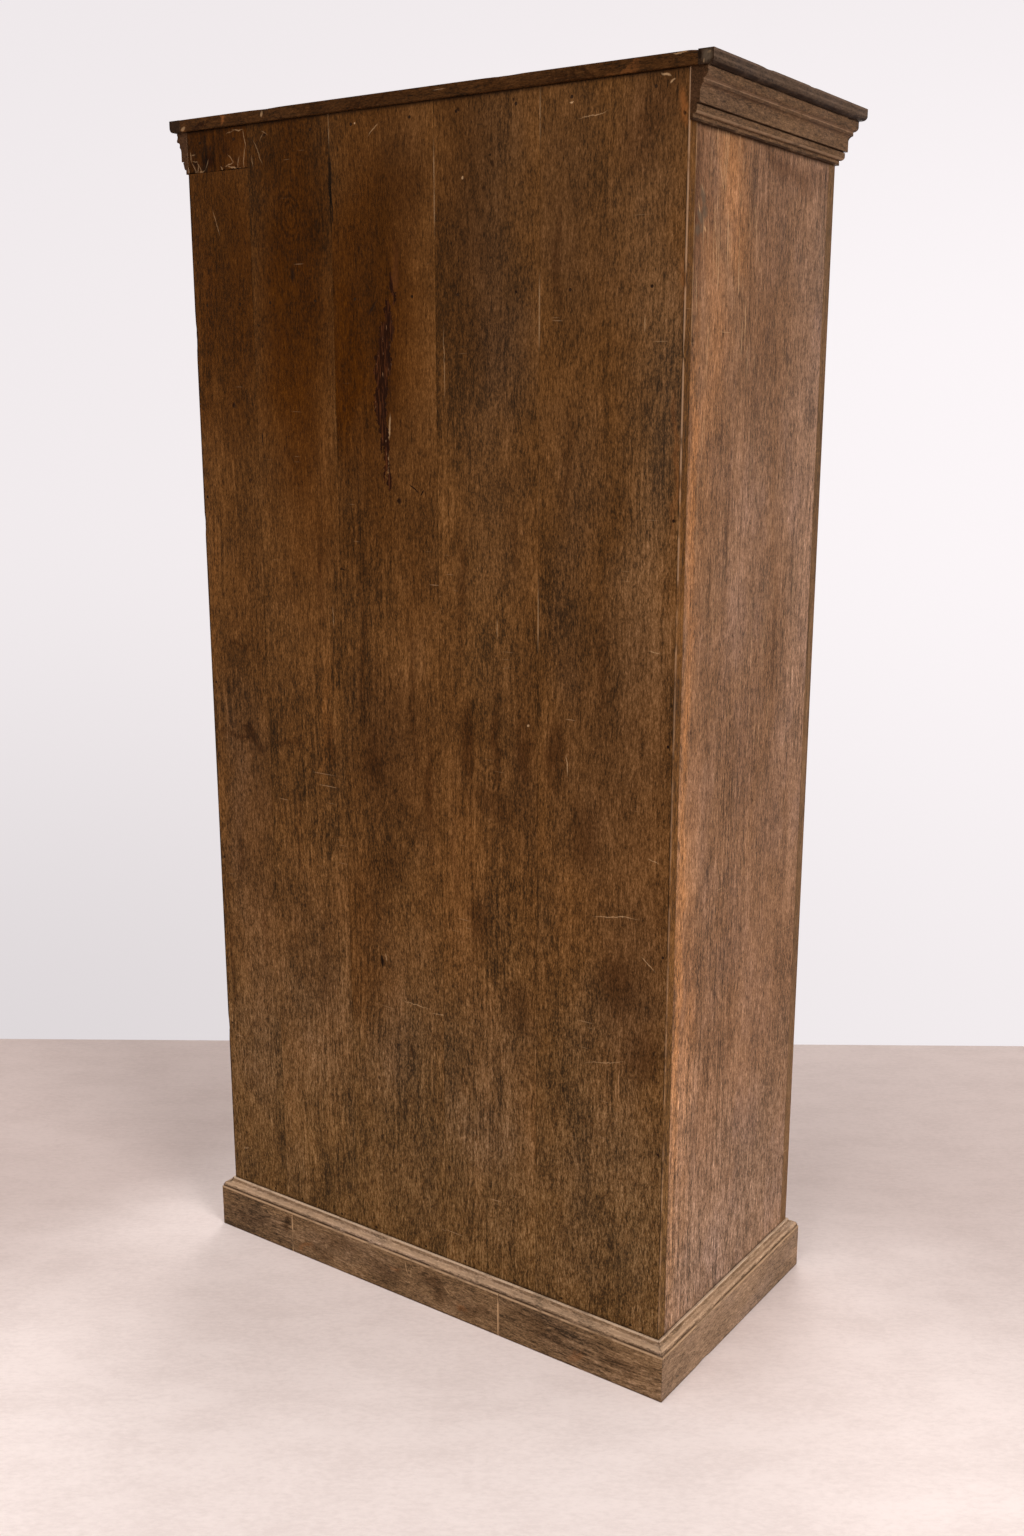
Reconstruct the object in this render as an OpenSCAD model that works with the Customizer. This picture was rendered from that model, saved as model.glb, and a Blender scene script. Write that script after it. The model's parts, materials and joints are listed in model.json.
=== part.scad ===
// Old two-door wardrobe on a plinth, with a cornice, in millimetres.
// Front is -Y, back is +Y, up is +Z. The origin is on the floor, at the middle of the whole outline.

/* [Case] */
// Width of the case, over the two sides
case_w = 970; // [800:5:1200]
// Depth of the case, from the front frame to the back boards
case_d = 475; // [420:5:600]
// Height of the whole wardrobe
case_h = 2050; // [1950:10:2200]
// Thickness of the side boards
side_t = 20; // [16:1:26]
// Height of the floor's upper face above the ground
floor_top = 118; // [112:1:140]
// Thickness of the floor board
floor_t = 22; // [20:1:28]

/* [Back] */
// Thickness of the back boards
back_t = 20; // [15:1:25]
// Width of the first back board, counted from the +X side
back_w1 = 140; // [100:1:170]
// Width of the second back board
back_w2 = 179; // [140:1:200]
// Width of the third back board
back_w3 = 210; // [150:1:230]
// Width of the fourth back board
back_w4 = 195; // [150:1:215]
// Shrinkage gap between two neighbouring back boards
back_gap = 0.6; // [0.3:0.1:2]
// Gap under the back boards
back_foot = 6; // [0:1:20]

/* [Top and cornice] */
// Thickness of the top board and of its edging
top_t = 19; // [15:1:25]
// How far the top's edging stands out from the sides and the front
top_out = 36; // [33:1:50]
// How far the top stands out behind the back boards
top_back_out = 4; // [0:1:10]
// Width of the edging strips round the top board
edging_w = 24; // [20:1:28]
// Radius of the edging's lower outer edge
edging_r = 8; // [3:1:12]
// Height of the cornice moulding
cornice_h = 67; // [60:1:90]

/* [Plinth] */
// Height of the plinth boards
plinth_h = 82; // [60:1:95]
// Thickness of the plinth boards, which is how far they stand out
plinth_t = 19; // [18:1:25]
// Place of the first joint in the back plinth board, from the +X side of the case
plinth_joint_1 = 169; // [100:1:300]
// Place of the second joint in the back plinth board, from the +X side of the case
plinth_joint_2 = 658; // [450:1:700]
// Gap in the joints of the back plinth board
plinth_gap = 0.6; // [0.3:0.1:2]

/* [Front frame] */
// Width of the frame's two uprights
upright_w = 50; // [40:1:70]
// Thickness of the frame
frame_t = 22; // [20:1:28]
// Height of the frame's top rail that shows below the cornice
top_rail_show = 64; // [50:1:90]

/* [Doors] */
// Running gap round and between the doors
door_gap = 2; // [1.6:0.1:3]
// Gap under the doors
door_foot_gap = 3; // [2:0.5:5]
// How much thinner the doors are than the frame
door_thinner = 0.5; // [0.3:0.1:2]
// Width of the door stiles
stile_w = 80; // [76:1:100]
// Height of the doors' top rails
door_top_h = 90; // [60:1:120]
// Height of the doors' middle rails
door_mid_h = 100; // [80:1:130]
// Height of the doors' bottom rails
door_low_h = 120; // [90:1:150]
// Height above the ground of the middle rail's centre and of the key
key_z = 1010; // [900:5:1100]
// Thickness of a panel's edge
panel_edge_t = 6; // [5:0.5:8]
// How far a panel's field stands up from its edge
panel_rise = 4; // [2:0.5:5]
// Width of the bevel round a panel's field
panel_bevel = 32; // [15:1:50]
// Depth of the grooves that hold the panels
groove_d = 10; // [8:0.5:14]

/* [Hinges] */
// Height of a hinge
hinge_h = 64; // [50:1:90]
// Outer radius of a hinge's knuckle
knuckle_r = 5.5; // [4.5:0.1:7]
// Radius of a hinge pin
pin_r = 2.4; // [1.8:0.1:3]
// Thickness of a hinge leaf
leaf_t = 1.7; // [1.4:0.1:2.2]
// Width of a leaf on the edge of the wood
leaf_w = 18; // [14:1:20]
// Distance from a door's end to the centre of its outer hinges
hinge_inset = 200; // [120:5:300]

/* [Lock and bolts] */
// Distance from the meeting edge to the key's axis
lock_backset = 16; // [14:0.5:18]
// How far the lock bolt shoots
lock_throw = 8; // [6:0.5:9]
// Radius of the key's shank
key_r = 2.5; // [2:0.1:2.8]
// Reach of the key's bit from the key's axis
bit_reach = 9; // [8:0.5:9.5]
// Height of the knob above the key
knob_rise = 82; // [74:1:120]
// Radius of the knob
knob_r = 14; // [10:0.5:18]
// Radius of the sliding bolts
bolt_r = 4; // [3:0.5:5]
// Length of a bolt's back plate
bolt_plate_h = 100; // [80:5:150]
// Travel of the sliding bolts
bolt_travel = 14; // [8:1:16]

/* [Inside] */
// Thickness of the hat shelf
shelf_t = 18; // [14:1:24]
// Height of the space over the hat shelf, up to the top board
hat_space = 271; // [230:1:320]
// Distance from the hat shelf's front edge to the back of the front frame
shelf_setback = 27; // [22:1:80]
// Distance from the hat shelf's lower face to the hanging rail's axis
rail_drop = 62; // [50:1:90]
// Radius of the hanging rail
rail_r = 14; // [10:0.5:18]
// Radius of the rail's sockets
socket_r = 25; // [23:0.5:32]
// Thickness of the rail's sockets
socket_t = 14; // [10:1:20]
// Width of the battens
batten_w = 20; // [18:1:30]
// Height of the battens
batten_h = 30; // [20:1:40]
// Height of the door stop and of the batten at the top of the back
long_batten_h = 40; // [30:1:50]

/* [Fastenings] */
// Radius of a nail's shank
nail_r = 1.25; // [1:0.05:1.6]
// Radius of a nail's head
nail_head_r = 2.5; // [2:0.1:3.5]
// Depth that a nail goes into the wood behind a back board
nail_grip = 17; // [12:1:18]
// Radius of a hinge screw's shank
screw_r = 1.5; // [1.2:0.1:2]
// Radius of a hinge screw's head
screw_head_r = 3; // [2.5:0.1:3.5]
// Length of a hinge screw
screw_l = 20; // [12:1:24]
// Depth that a rail socket's screw goes into the side
socket_screw_in = 16; // [10:1:16]

/* [Hidden] */
$fn = 48;

// Clearances
fit = 0.05;
slip = 0.3;
hairline = 0.3;
past = 1;

// Case
half_w = case_w / 2;
y_front = -(case_d + plinth_t + top_out) / 2 + top_out;
y_back = y_front + case_d;
y_frame = y_front + frame_t;
y_lining = y_back - back_t;
z_under_top = case_h - top_t;
z_cornice = z_under_top - cornice_h;
z_top_rail = z_cornice - top_rail_show;
z_floor = floor_top - floor_t;
inner_w = half_w - side_t;

// Back boards, as places of their edges from +X to -X
back_x = [half_w, half_w - back_w1, half_w - back_w1 - back_w2, half_w - back_w1 - back_w2 - back_w3,
    half_w - back_w1 - back_w2 - back_w3 - back_w4, -half_w];
BACK_BOARDS = 5;

// Cornice profile: band, fillet, cove over a flat, quirk, ovolo and foot, from the top down
band_h = 17;
band_out = 26;
band_r = 8;
fillet_h = 4;
fillet_out = 20;
flat_out = 14.5;
cove_r = 10;
quirk_z = 19;
quirk_h = 1.6;
quirk_out = 9;
ovolo_r = 6.5;
foot_h = 7;
foot_out = 4.7;
fillet_z = cornice_h - band_h - fillet_h;

// Plinth moulding profile: fillet, round, hollow and top fillet, from the bottom up
mould_out = 17;
mould_fillet = 4;
round_r = 5;
mould_hollow_r = 7;
mould_top = 1;
mould_h = mould_fillet + round_r + mould_hollow_r + mould_top;

// Lengths of the back plinth board, as places of their ends from +X to -X
plinth_x = [half_w + plinth_t, half_w - plinth_joint_1, half_w - plinth_joint_2, -half_w - plinth_t];
PLINTH_LENGTHS = 3;

// Frame joints
open_x = half_w - upright_w;
rail_tenon = 30;
tenon_t = 8;
shoulder = 12;
mortise_spare = 1;

// Doors
door_t = frame_t - door_thinner;
door_x0 = door_gap / 2;
door_x1 = open_x - door_gap;
door_z0 = floor_top + door_foot_gap;
door_z1 = z_top_rail - door_gap;
door_mid_z0 = key_z - door_mid_h / 2;
door_mid_z1 = key_z + door_mid_h / 2;
panel_y = y_front + door_t / 2;
door_tenon = 40;
panel_in = groove_d - 2;
panel_step = 1.5;
groove_spare = 0.1;

// Hinges
pin_x = open_x - door_gap / 2;
pin_y = y_front - knuckle_r;
leaf_gap = 0.2;
hinge_zs = [door_z0 + hinge_inset, (door_z0 + door_z1) / 2 + hinge_h, door_z1 - hinge_inset];
KNUCKLES = 5;
knuckle_h = hinge_h / KNUCKLES;
knuckle_space = 0.15;
notch_space = 0.4;
pin_head_r = pin_r + 1.8;
pin_head_h = 2;
leaf_screw_z = hinge_h / 2 - 10;
leaf_screw_near = 0.4;
leaf_screw_far = 0.66;

// Lock, in the meeting stile of the door on the +X side
wall = 1.2;
lock_w = lock_backset + lock_throw + 12;
lock_d = 11.5;
lock_low = 18;
lock_high = 30;
lock_ear = 10;
lock_screw_l = 11;
lock_y0 = y_front + door_t - lock_d;
lock_y1 = y_front + door_t;
key_x = door_x0 + lock_backset;
bolt_bar_t = 4;
bolt_bar_z = 5;
bolt_bar_h = 14;
bolt_bar_in = 4.3;
bolt_bar_y = lock_y0 + bolt_bar_in;
bolt_bar_tail = 3;
bolt_bar_spare = 2;
bit_t = 3;
bit_w = 7;
talon_x = key_x + lock_throw - bit_t / 2 - 2 * fit;
talon_w = 8.6;
talon_h = bit_reach + 1.5 - bolt_bar_z;
key_hole_r = key_r + 0.7;
key_collar_r = key_r + 1.2;
key_collar_h = 3;
key_slot_w = bit_t + 0.6;
key_slot_l = bit_reach + 1;
key_out = 7;
bow_r = 8.5;
bow_t = 2.2;
plate_r = 10;
plate_t = 1.2;
plate_rise = 12;
plate_pin_r = 1.4;
plate_pin_l = 9;

// Knob
knob_z = key_z + knob_rise;
knob_x = door_x0 + stile_w / 2;
knob_stem_r = 5;
knob_neck = 13;
knob_base_r = 11;
knob_base_t = 3;
knob_ball_z = knob_neck + knob_r * 0.55;
knob_shoulder = 5;
knob_short = 2;

// Door stop, behind the frame's top rail
stop_lap = 10;
stop_z = z_top_rail - stop_lap;

// Sliding bolts, on the inner face of the other door's meeting stile
bolt_inset = 20;
bolt_x = door_x0 + bolt_inset;
bolt_y0 = y_front + door_t;
bolt_plate_t = 2.5;
bolt_plate_rim = 9;
bolt_plate_w = (bolt_r + bolt_plate_rim) * 2;
bolt_screw_x = bolt_plate_w / 2 - 4;
bolt_screw_l = 12;
bridge_w = bolt_r * 2 + 8;
bridge_h = 12;
bolt_y = bolt_y0 + bolt_plate_t + bolt_r + 2;
bridge_d = bolt_r * 2 + 4;
bridge_inset = 6;
bridge_z = bolt_plate_h / 2 - bridge_inset - bridge_h / 2;
bolt_screw_inset = 22;
bolt_plate_screw_z = bolt_plate_h / 2 - bolt_screw_inset;
bolt_tip = 4;
bolt_hole_r = bolt_r + 0.5;
bolt_over = 2;
bolt_knob_r = 4;
bolt_knob_l = 8;
bolt_knob_end = 4;
upper_plate_z = stop_z - bolt_tip - bolt_over - bolt_plate_h;
lower_plate_z = floor_top + bolt_tip + bolt_over;

// Inside
shelf_top = z_under_top - hat_space;
shelf_under = shelf_top - shelf_t;
rail_z = shelf_under - rail_drop;
rail_y = (y_frame + y_lining) / 2;
socket_floor = 2;
batten_short = 12;
socket_screw_off = (socket_r + rail_r) / 2;

// Nails through the back boards, as [x, z] places, two a board in each row
nail_sink = 0.4;
nail_head_h = 1.2;
nail_l = back_t + nail_grip;
nail_rows = [z_floor + floor_t / 2, shelf_under + shelf_t / 2, z_under_top - long_batten_h / 2];
nail_share = [0.22, 0.78];
side_nail_x = half_w - side_t / 2;
side_nail_zs = [for (k = [1:4]) z_floor + k * (shelf_top - z_floor) / 5];
row_nails = [for (z = nail_rows, i = [0:BACK_BOARDS - 1], s = nail_share)
    [back_x[i] + (back_x[i + 1] - back_x[i]) * s, z]];
side_nails = [for (z = side_nail_zs, side = [-1, 1]) [side * side_nail_x, z]];
nails = concat(row_nails, side_nails);

LEFT = -1;
RIGHT = 1;
UPPER = 1;
LOWER = -1;

WOOD_BACK = "#5a3d24";
WOOD_SIDE = "#6e4c2c";
WOOD_TRIM = "#6b4a2e";
WOOD_DOOR = "#744f2d";
WOOD_INSIDE = "#8a6a45";
BRASS = "#b08d4a";
IRON = "#4a4643";

// A box between two corners
module block(lo, hi) {
    translate(lo) cube(hi - lo);
}

// Draws the +X side's piece, or its mirror image on the -X side
module sided(side) {
    mirror([side < 0 ? 1 : 0, 0, 0]) children();
}

// A nail driven in from the back, or the hole that it fills
module nail(space) {
    translate([0, y_back - nail_sink, 0]) rotate([90, 0, 0]) cylinder(r = nail_r + space, h = nail_l);
    translate([0, y_back - nail_sink + (space > 0 ? past : 0), 0]) rotate([90, 0, 0])
        cylinder(r = nail_head_r + space, h = nail_head_h + (space > 0 ? past + space : 0));
}

module nail_holes(spots) {
    for (s = spots) translate([s.x, 0, s.y]) nail(fit);
}

// The nails that stand between two X and two Z
function nails_across(x0, x1, z0, z1) =
    [for (s = nails) if (s.x > x0 && s.x < x1 && s.y > z0 && s.y < z1) s];

// A countersunk wood screw that points to +X with the face of its head at the origin, or its hole
module screw(length, space) {
    rotate([0, 90, 0]) cylinder(r = screw_r + space, h = length + space);
    rotate([0, 90, 0]) cylinder(r1 = screw_head_r + space, r2 = screw_r + space, h = leaf_t - fit);
}

// Case

module side_board() {
    difference() {
        block([inner_w, y_frame, 0], [half_w, y_lining, z_under_top]);
        nail_holes(nails_across(inner_w, half_w, 0, case_h));
        at_socket_screws() socket_screw(fit);
    }
}

module left_side() {
    color(WOOD_SIDE) sided(LEFT) side_board();
}

module right_side() {
    color(WOOD_SIDE) side_board();
}

module back_board(i, z0, z1) {
    gap_left = i == BACK_BOARDS - 1 ? 0 : back_gap / 2;
    gap_right = i == 0 ? 0 : back_gap / 2;
    color(WOOD_BACK) difference() {
        block([back_x[i + 1] + gap_left, y_lining, z0], [back_x[i] - gap_right, y_back, z1]);
        nail_holes(nails_across(back_x[i + 1], back_x[i], z0, z1));
    }
}

module floor_board() {
    color(WOOD_INSIDE) difference() {
        union() {
            block([-inner_w, y_frame, z_floor], [inner_w, y_lining, floor_top]);
            block([-open_x, y_front, z_floor], [open_x, y_frame + past, floor_top]);
        }
        nail_holes(nails_across(-inner_w, inner_w, z_floor, floor_top));
        sided(LEFT) translate([bolt_x, bolt_y, floor_top - bolt_travel])
            cylinder(r = bolt_hole_r, h = bolt_travel + past);
    }
}

module top_board() {
    x = half_w + top_out - edging_w;
    color(WOOD_TRIM)
        block([-x, y_front - top_out + edging_w, z_under_top], [x, y_back + top_back_out, case_h]);
}

// The edging's section: out from its joint with the top board, and up
module edging_section() {
    square([edging_w - edging_r, top_t]);
    translate([0, edging_r]) square([edging_w, top_t - edging_r]);
    translate([edging_w - edging_r, edging_r]) circle(r = edging_r);
}

module side_edging() {
    x = half_w + top_out - edging_w;
    y0 = y_front - top_out;
    y1 = y_back + top_back_out;
    intersection() {
        translate([x, y1, z_under_top]) rotate([90, 0, 0]) linear_extrude(y1 - y0) edging_section();
        translate([0, 0, z_under_top - past]) linear_extrude(top_t + 2 * past)
            polygon([[x, y1 + past], [x + edging_w + past, y1 + past], [x + edging_w + past, y0 - past],
                [x, y0 + edging_w]]);
    }
}

module top_edging_left() {
    color(WOOD_TRIM) sided(LEFT) side_edging();
}

module top_edging_right() {
    color(WOOD_TRIM) side_edging();
}

module top_edging_front() {
    x = half_w + top_out;
    y = y_front - top_out + edging_w;
    color(WOOD_TRIM) intersection() {
        translate([x, y, z_under_top]) rotate([90, 0, -90]) linear_extrude(2 * x) edging_section();
        translate([0, 0, z_under_top - past]) linear_extrude(top_t + 2 * past)
            polygon([[-x + edging_w, y], [x - edging_w, y], [x + past, y - edging_w - past],
                [-x - past, y - edging_w - past]]);
    }
}

// The cornice's section: out from the case, and up from its lower edge
module cornice_section() {
    band_z = cornice_h - band_h;
    ovolo_z = foot_h + ovolo_r;
    translate([0, band_z + band_r]) square([band_out, band_h - band_r]);
    translate([0, band_z]) square([band_out - band_r, band_h]);
    translate([band_out - band_r, band_z + band_r]) circle(r = band_r);
    translate([0, fillet_z]) square([fillet_out, fillet_h + past]);
    difference() {
        translate([0, quirk_z + quirk_h]) square([fillet_out, fillet_z - quirk_z - quirk_h + past]);
        translate([flat_out, quirk_z]) square([fillet_out, fillet_z - cove_r - quirk_z]);
        translate([flat_out + cove_r, fillet_z - cove_r]) circle(r = cove_r);
    }
    square([foot_out, quirk_z]);
    translate([0, quirk_z - past]) square([quirk_out, quirk_h + 2 * past]);
    translate([0, ovolo_z]) square([foot_out + ovolo_r, quirk_z - ovolo_z]);
    intersection() {
        translate([foot_out, ovolo_z]) circle(r = ovolo_r);
        square([foot_out + ovolo_r, ovolo_z + past]);
    }
}

module side_cornice() {
    intersection() {
        translate([half_w, y_back, z_cornice]) rotate([90, 0, 0])
            linear_extrude(case_d + top_out) cornice_section();
        translate([0, 0, z_cornice - past]) linear_extrude(cornice_h + 2 * past)
            polygon([[half_w, y_back + past], [half_w + top_out, y_back + past],
                [half_w + top_out, y_front - top_out], [half_w, y_front]]);
    }
}

module cornice_left() {
    color(WOOD_TRIM) sided(LEFT) side_cornice();
}

module cornice_right() {
    color(WOOD_TRIM) side_cornice();
}

module cornice_front() {
    x = half_w + top_out;
    color(WOOD_TRIM) intersection() {
        translate([x, y_front, z_cornice]) rotate([90, 0, -90]) linear_extrude(2 * x) cornice_section();
        translate([0, 0, z_cornice - past]) linear_extrude(cornice_h + 2 * past)
            polygon([[-half_w, y_front], [half_w, y_front], [x, y_front - top_out],
                [-x, y_front - top_out]]);
    }
}

// Plinth

// Plan of a strip round the case, out by d, on the side (+X), the front or the back
function side_plan(d, gap) = [[half_w, y_back - gap], [half_w + d, y_back + d - gap],
    [half_w + d, y_front - d + gap], [half_w, y_front + gap]];
function front_plan(d) = [[-half_w, y_front], [half_w, y_front], [half_w + d, y_front - d],
    [-half_w - d, y_front - d]];
function back_plan(d) = [[-half_w, y_back], [half_w, y_back], [half_w + d, y_back + d],
    [-half_w - d, y_back + d]];

module plinth_board(plan) {
    color(WOOD_TRIM) linear_extrude(plinth_h) polygon(plan);
}

module plinth_back(i) {
    gap_left = i == PLINTH_LENGTHS - 1 ? 0 : plinth_gap / 2;
    gap_right = i == 0 ? 0 : plinth_gap / 2;
    color(WOOD_TRIM) intersection() {
        linear_extrude(plinth_h) polygon(back_plan(plinth_t));
        block([plinth_x[i + 1] + gap_left, y_back - past, -past],
            [plinth_x[i] - gap_right, y_back + plinth_t + past, plinth_h + past]);
    }
}

// The plinth moulding's section: out from the case, and up from the plinth board
module moulding_section() {
    hollow_z0 = mould_fillet + round_r;
    hollow_x = mould_out - 1 - round_r;
    square([mould_out, mould_fillet]);
    translate([0, mould_fillet - past]) square([hollow_x, round_r + past]);
    intersection() {
        translate([hollow_x, mould_fillet]) circle(r = round_r);
        translate([hollow_x - past, mould_fillet - past]) square([round_r + 2 * past, round_r + 2 * past]);
    }
    difference() {
        translate([0, hollow_z0 - past]) square([hollow_x, mould_hollow_r + past]);
        translate([hollow_x, hollow_z0 + mould_hollow_r]) circle(r = mould_hollow_r);
    }
    translate([0, hollow_z0]) square([hollow_x - mould_hollow_r, mould_hollow_r + mould_top]);
}

module moulding_run(at, turn, length, plan) {
    intersection() {
        translate(at) rotate([90, 0, turn]) linear_extrude(length) moulding_section();
        translate([0, 0, plinth_h - past]) linear_extrude(mould_h + 2 * past) polygon(plan);
    }
}

module plinth_mouldings() {
    x = half_w + plinth_t;
    long = case_d + 2 * plinth_t;
    color(WOOD_TRIM) {
        for (side = [LEFT, RIGHT]) sided(side)
            moulding_run([half_w, y_back + plinth_t, plinth_h], 0, long, side_plan(plinth_t, hairline));
        moulding_run([x, y_front, plinth_h], -90, 2 * x, front_plan(plinth_t));
        moulding_run([-x, y_back, plinth_h], 90, 2 * x, back_plan(plinth_t));
    }
}

// Front frame

module upright() {
    color(WOOD_DOOR) difference() {
        block([open_x, y_front, 0], [half_w, y_frame, z_under_top]);
        rail_tenon_block(0);
        for (z = hinge_zs) translate([pin_x, pin_y, z]) leaf_gain();
        at_hinge_screws() screw(screw_l, fit);
    }
}

// The tenon of the frame's top rail on the +X side, or its mortise
module rail_tenon_block(short) {
    y = (y_front + y_frame) / 2;
    block([open_x - past, y - tenon_t / 2, z_top_rail + shoulder],
        [open_x + rail_tenon - short, y + tenon_t / 2, z_under_top - shoulder]);
}

module frame_upright_left() {
    sided(LEFT) upright();
}

module frame_upright_right() {
    upright();
}

module frame_top_rail() {
    color(WOOD_DOOR) {
        block([-open_x, y_front, z_top_rail], [open_x, y_frame, z_under_top]);
        for (side = [LEFT, RIGHT]) sided(side) rail_tenon_block(mortise_spare);
    }
}

// Inside

module hat_shelf() {
    color(WOOD_INSIDE) difference() {
        block([-inner_w, y_frame + shelf_setback, shelf_under], [inner_w, y_lining, shelf_top]);
        nail_holes(nails_across(-inner_w, inner_w, shelf_under, shelf_top));
    }
}

// Battens under the floor and the hat shelf, behind the doors' top and along the top of the back
module battens() {
    y0 = y_frame + batten_short + shelf_setback;
    y1 = y_lining - batten_short;
    color(WOOD_INSIDE) {
        for (side = [LEFT, RIGHT], z = [z_floor, shelf_under]) sided(side)
            block([inner_w - batten_w, y0, z - batten_h], [inner_w, y1, z]);
        difference() {
            block([-inner_w, y_frame, stop_z], [inner_w, y_frame + batten_w, stop_z + long_batten_h]);
            sided(LEFT) translate([bolt_x, bolt_y, stop_z - past])
                cylinder(r = bolt_hole_r, h = bolt_travel + past);
        }
        difference() {
            block([-inner_w, y_lining - batten_w, z_under_top - long_batten_h],
                [inner_w, y_lining, z_under_top]);
            nail_holes(nails_across(-inner_w, inner_w, z_under_top - long_batten_h, z_under_top));
        }
    }
}

module hanging_rail() {
    length = 2 * (inner_w - socket_floor) - 2 * slip;
    color(WOOD_INSIDE) translate([-length / 2, rail_y, rail_z]) rotate([0, 90, 0])
        cylinder(r = rail_r, h = length);
}

module at_socket_screws() {
    for (a = [LEFT, RIGHT]) translate([inner_w - socket_t, rail_y + a * socket_screw_off, rail_z])
        children();
}

module rail_sockets() {
    color(BRASS) for (side = [LEFT, RIGHT]) sided(side) difference() {
        translate([inner_w - socket_t, rail_y, rail_z]) rotate([0, 90, 0])
            cylinder(r = socket_r, h = socket_t);
        translate([inner_w - socket_t - past, rail_y, rail_z]) rotate([0, 90, 0])
            cylinder(r = rail_r + slip, h = socket_t - socket_floor + past);
        at_socket_screws() socket_screw(fit);
    }
}

module socket_screw(space) {
    screw(socket_t + socket_screw_in - fit, space);
}

module back_nails() {
    color(IRON) for (s = nails) translate([s.x, 0, s.y]) nail(0);
}

// Hinges. Each is drawn with its pin on the Z axis, the frame to +X and the case's inside to +Y.

// The wood that is cut away for a leaf in the frame, with the door's being its mirror image
module leaf_gain() {
    block([0, 0, -hinge_h / 2], [leaf_gap / 2 + leaf_t, knuckle_r + leaf_w, hinge_h / 2]);
}

module knuckle(k, r, space) {
    translate([0, 0, -hinge_h / 2 + k * knuckle_h + space])
        cylinder(r = r, h = knuckle_h - 2 * space);
}

// A leaf has the knuckles whose number leaves this rest when halved
module leaf(rest) {
    difference() {
        union() {
            block([leaf_gap / 2, 0, -hinge_h / 2], [leaf_gap / 2 + leaf_t, knuckle_r + leaf_w, hinge_h / 2]);
            for (k = [0:KNUCKLES - 1]) if (k % 2 == rest) knuckle(k, knuckle_r, knuckle_space);
        }
        for (k = [0:KNUCKLES - 1]) if (k % 2 != rest) knuckle(k, knuckle_r + notch_space, 0);
        translate([0, 0, -hinge_h / 2 - past]) cylinder(r = pin_r + fit, h = hinge_h + 2 * past);
        at_leaf_screws() screw(screw_l, fit);
    }
}

module at_leaf_screws() {
    for (k = [-1:1]) {
        share = k == 0 ? leaf_screw_far : leaf_screw_near;
        translate([leaf_gap / 2 + fit, knuckle_r + leaf_w * share, k * leaf_screw_z]) children();
    }
}

// Screws of the frame's leaves on the +X side
module at_hinge_screws() {
    for (z = hinge_zs) translate([pin_x, pin_y, z]) at_leaf_screws() children();
}

// Screws of the door's leaves on the +X side
module at_door_hinge_screws() {
    for (z = hinge_zs) translate([pin_x, pin_y, z]) mirror([1, 0, 0]) at_leaf_screws() children();
}

module frame_hinge_leaves() {
    color(BRASS) for (side = [LEFT, RIGHT], z = hinge_zs) sided(side)
        translate([pin_x, pin_y, z]) leaf(0);
}

module door_hinge_leaves(side) {
    color(BRASS) for (z = hinge_zs) sided(side)
        translate([pin_x, pin_y, z]) mirror([1, 0, 0]) leaf(1);
}

module hinge_pin() {
    translate([0, 0, -hinge_h / 2 - slip]) cylinder(r = pin_r, h = hinge_h + 2 * slip);
    translate([0, 0, hinge_h / 2 + slip]) cylinder(r = pin_head_r, h = pin_head_h);
    translate([0, 0, -hinge_h / 2 - slip - pin_head_h]) cylinder(r = pin_head_r, h = pin_head_h);
}

module hinge_pins() {
    color(BRASS) for (side = [LEFT, RIGHT], z = hinge_zs) sided(side)
        translate([pin_x, pin_y, z]) hinge_pin();
}

module frame_screws() {
    color(IRON) for (side = [LEFT, RIGHT]) sided(side) {
        at_hinge_screws() screw(screw_l - fit, 0);
        at_socket_screws() socket_screw(0);
    }
}

// Doors. The +X door is drawn, and the other is its mirror image but for the lock and the bolts.

// The rails' tenons in a stile, whose inner edge is at x and whose wood lies towards dir
module door_tenons(x, dir, space) {
    for (r = [[door_z0, door_z0 + door_low_h], [door_mid_z0, door_mid_z1], [door_z1 - door_top_h, door_z1]])
        door_tenon_block(x, dir, r[0], r[1], space);
}

module door_tenon_block(x, dir, z0, z1, space) {
    reach = door_tenon + (space > 0 ? mortise_spare : 0);
    back = space > 0 ? past : 0;
    xs = dir > 0 ? [x - back, x + reach] : [x - reach, x + back];
    block([xs[0], panel_y - tenon_t / 2 - space, z0 + shoulder - space],
        [xs[1], panel_y + tenon_t / 2 + space, z1 - shoulder + space]);
}

module door_groove(x, dir) {
    xs = dir > 0 ? [x - past, x + groove_d] : [x - groove_d, x + past];
    half = panel_edge_t / 2 + groove_spare;
    block([xs[0], panel_y - half, door_z0 + door_low_h - groove_d],
        [xs[1], panel_y + half, door_z1 - door_top_h + groove_d]);
}

module hinge_stile() {
    x = door_x1 - stile_w;
    difference() {
        block([x, y_front, door_z0], [door_x1, y_front + door_t, door_z1]);
        door_tenons(x, 1, groove_spare);
        door_groove(x, 1);
        for (z = hinge_zs) translate([pin_x, pin_y, z]) mirror([1, 0, 0]) leaf_gain();
        at_door_hinge_screws() screw(screw_l, fit);
    }
}

module meeting_stile() {
    x = door_x0 + stile_w;
    difference() {
        block([door_x0, y_front, door_z0], [x, y_front + door_t, door_z1]);
        door_tenons(x, -1, groove_spare);
        door_groove(x, -1);
    }
}

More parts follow.
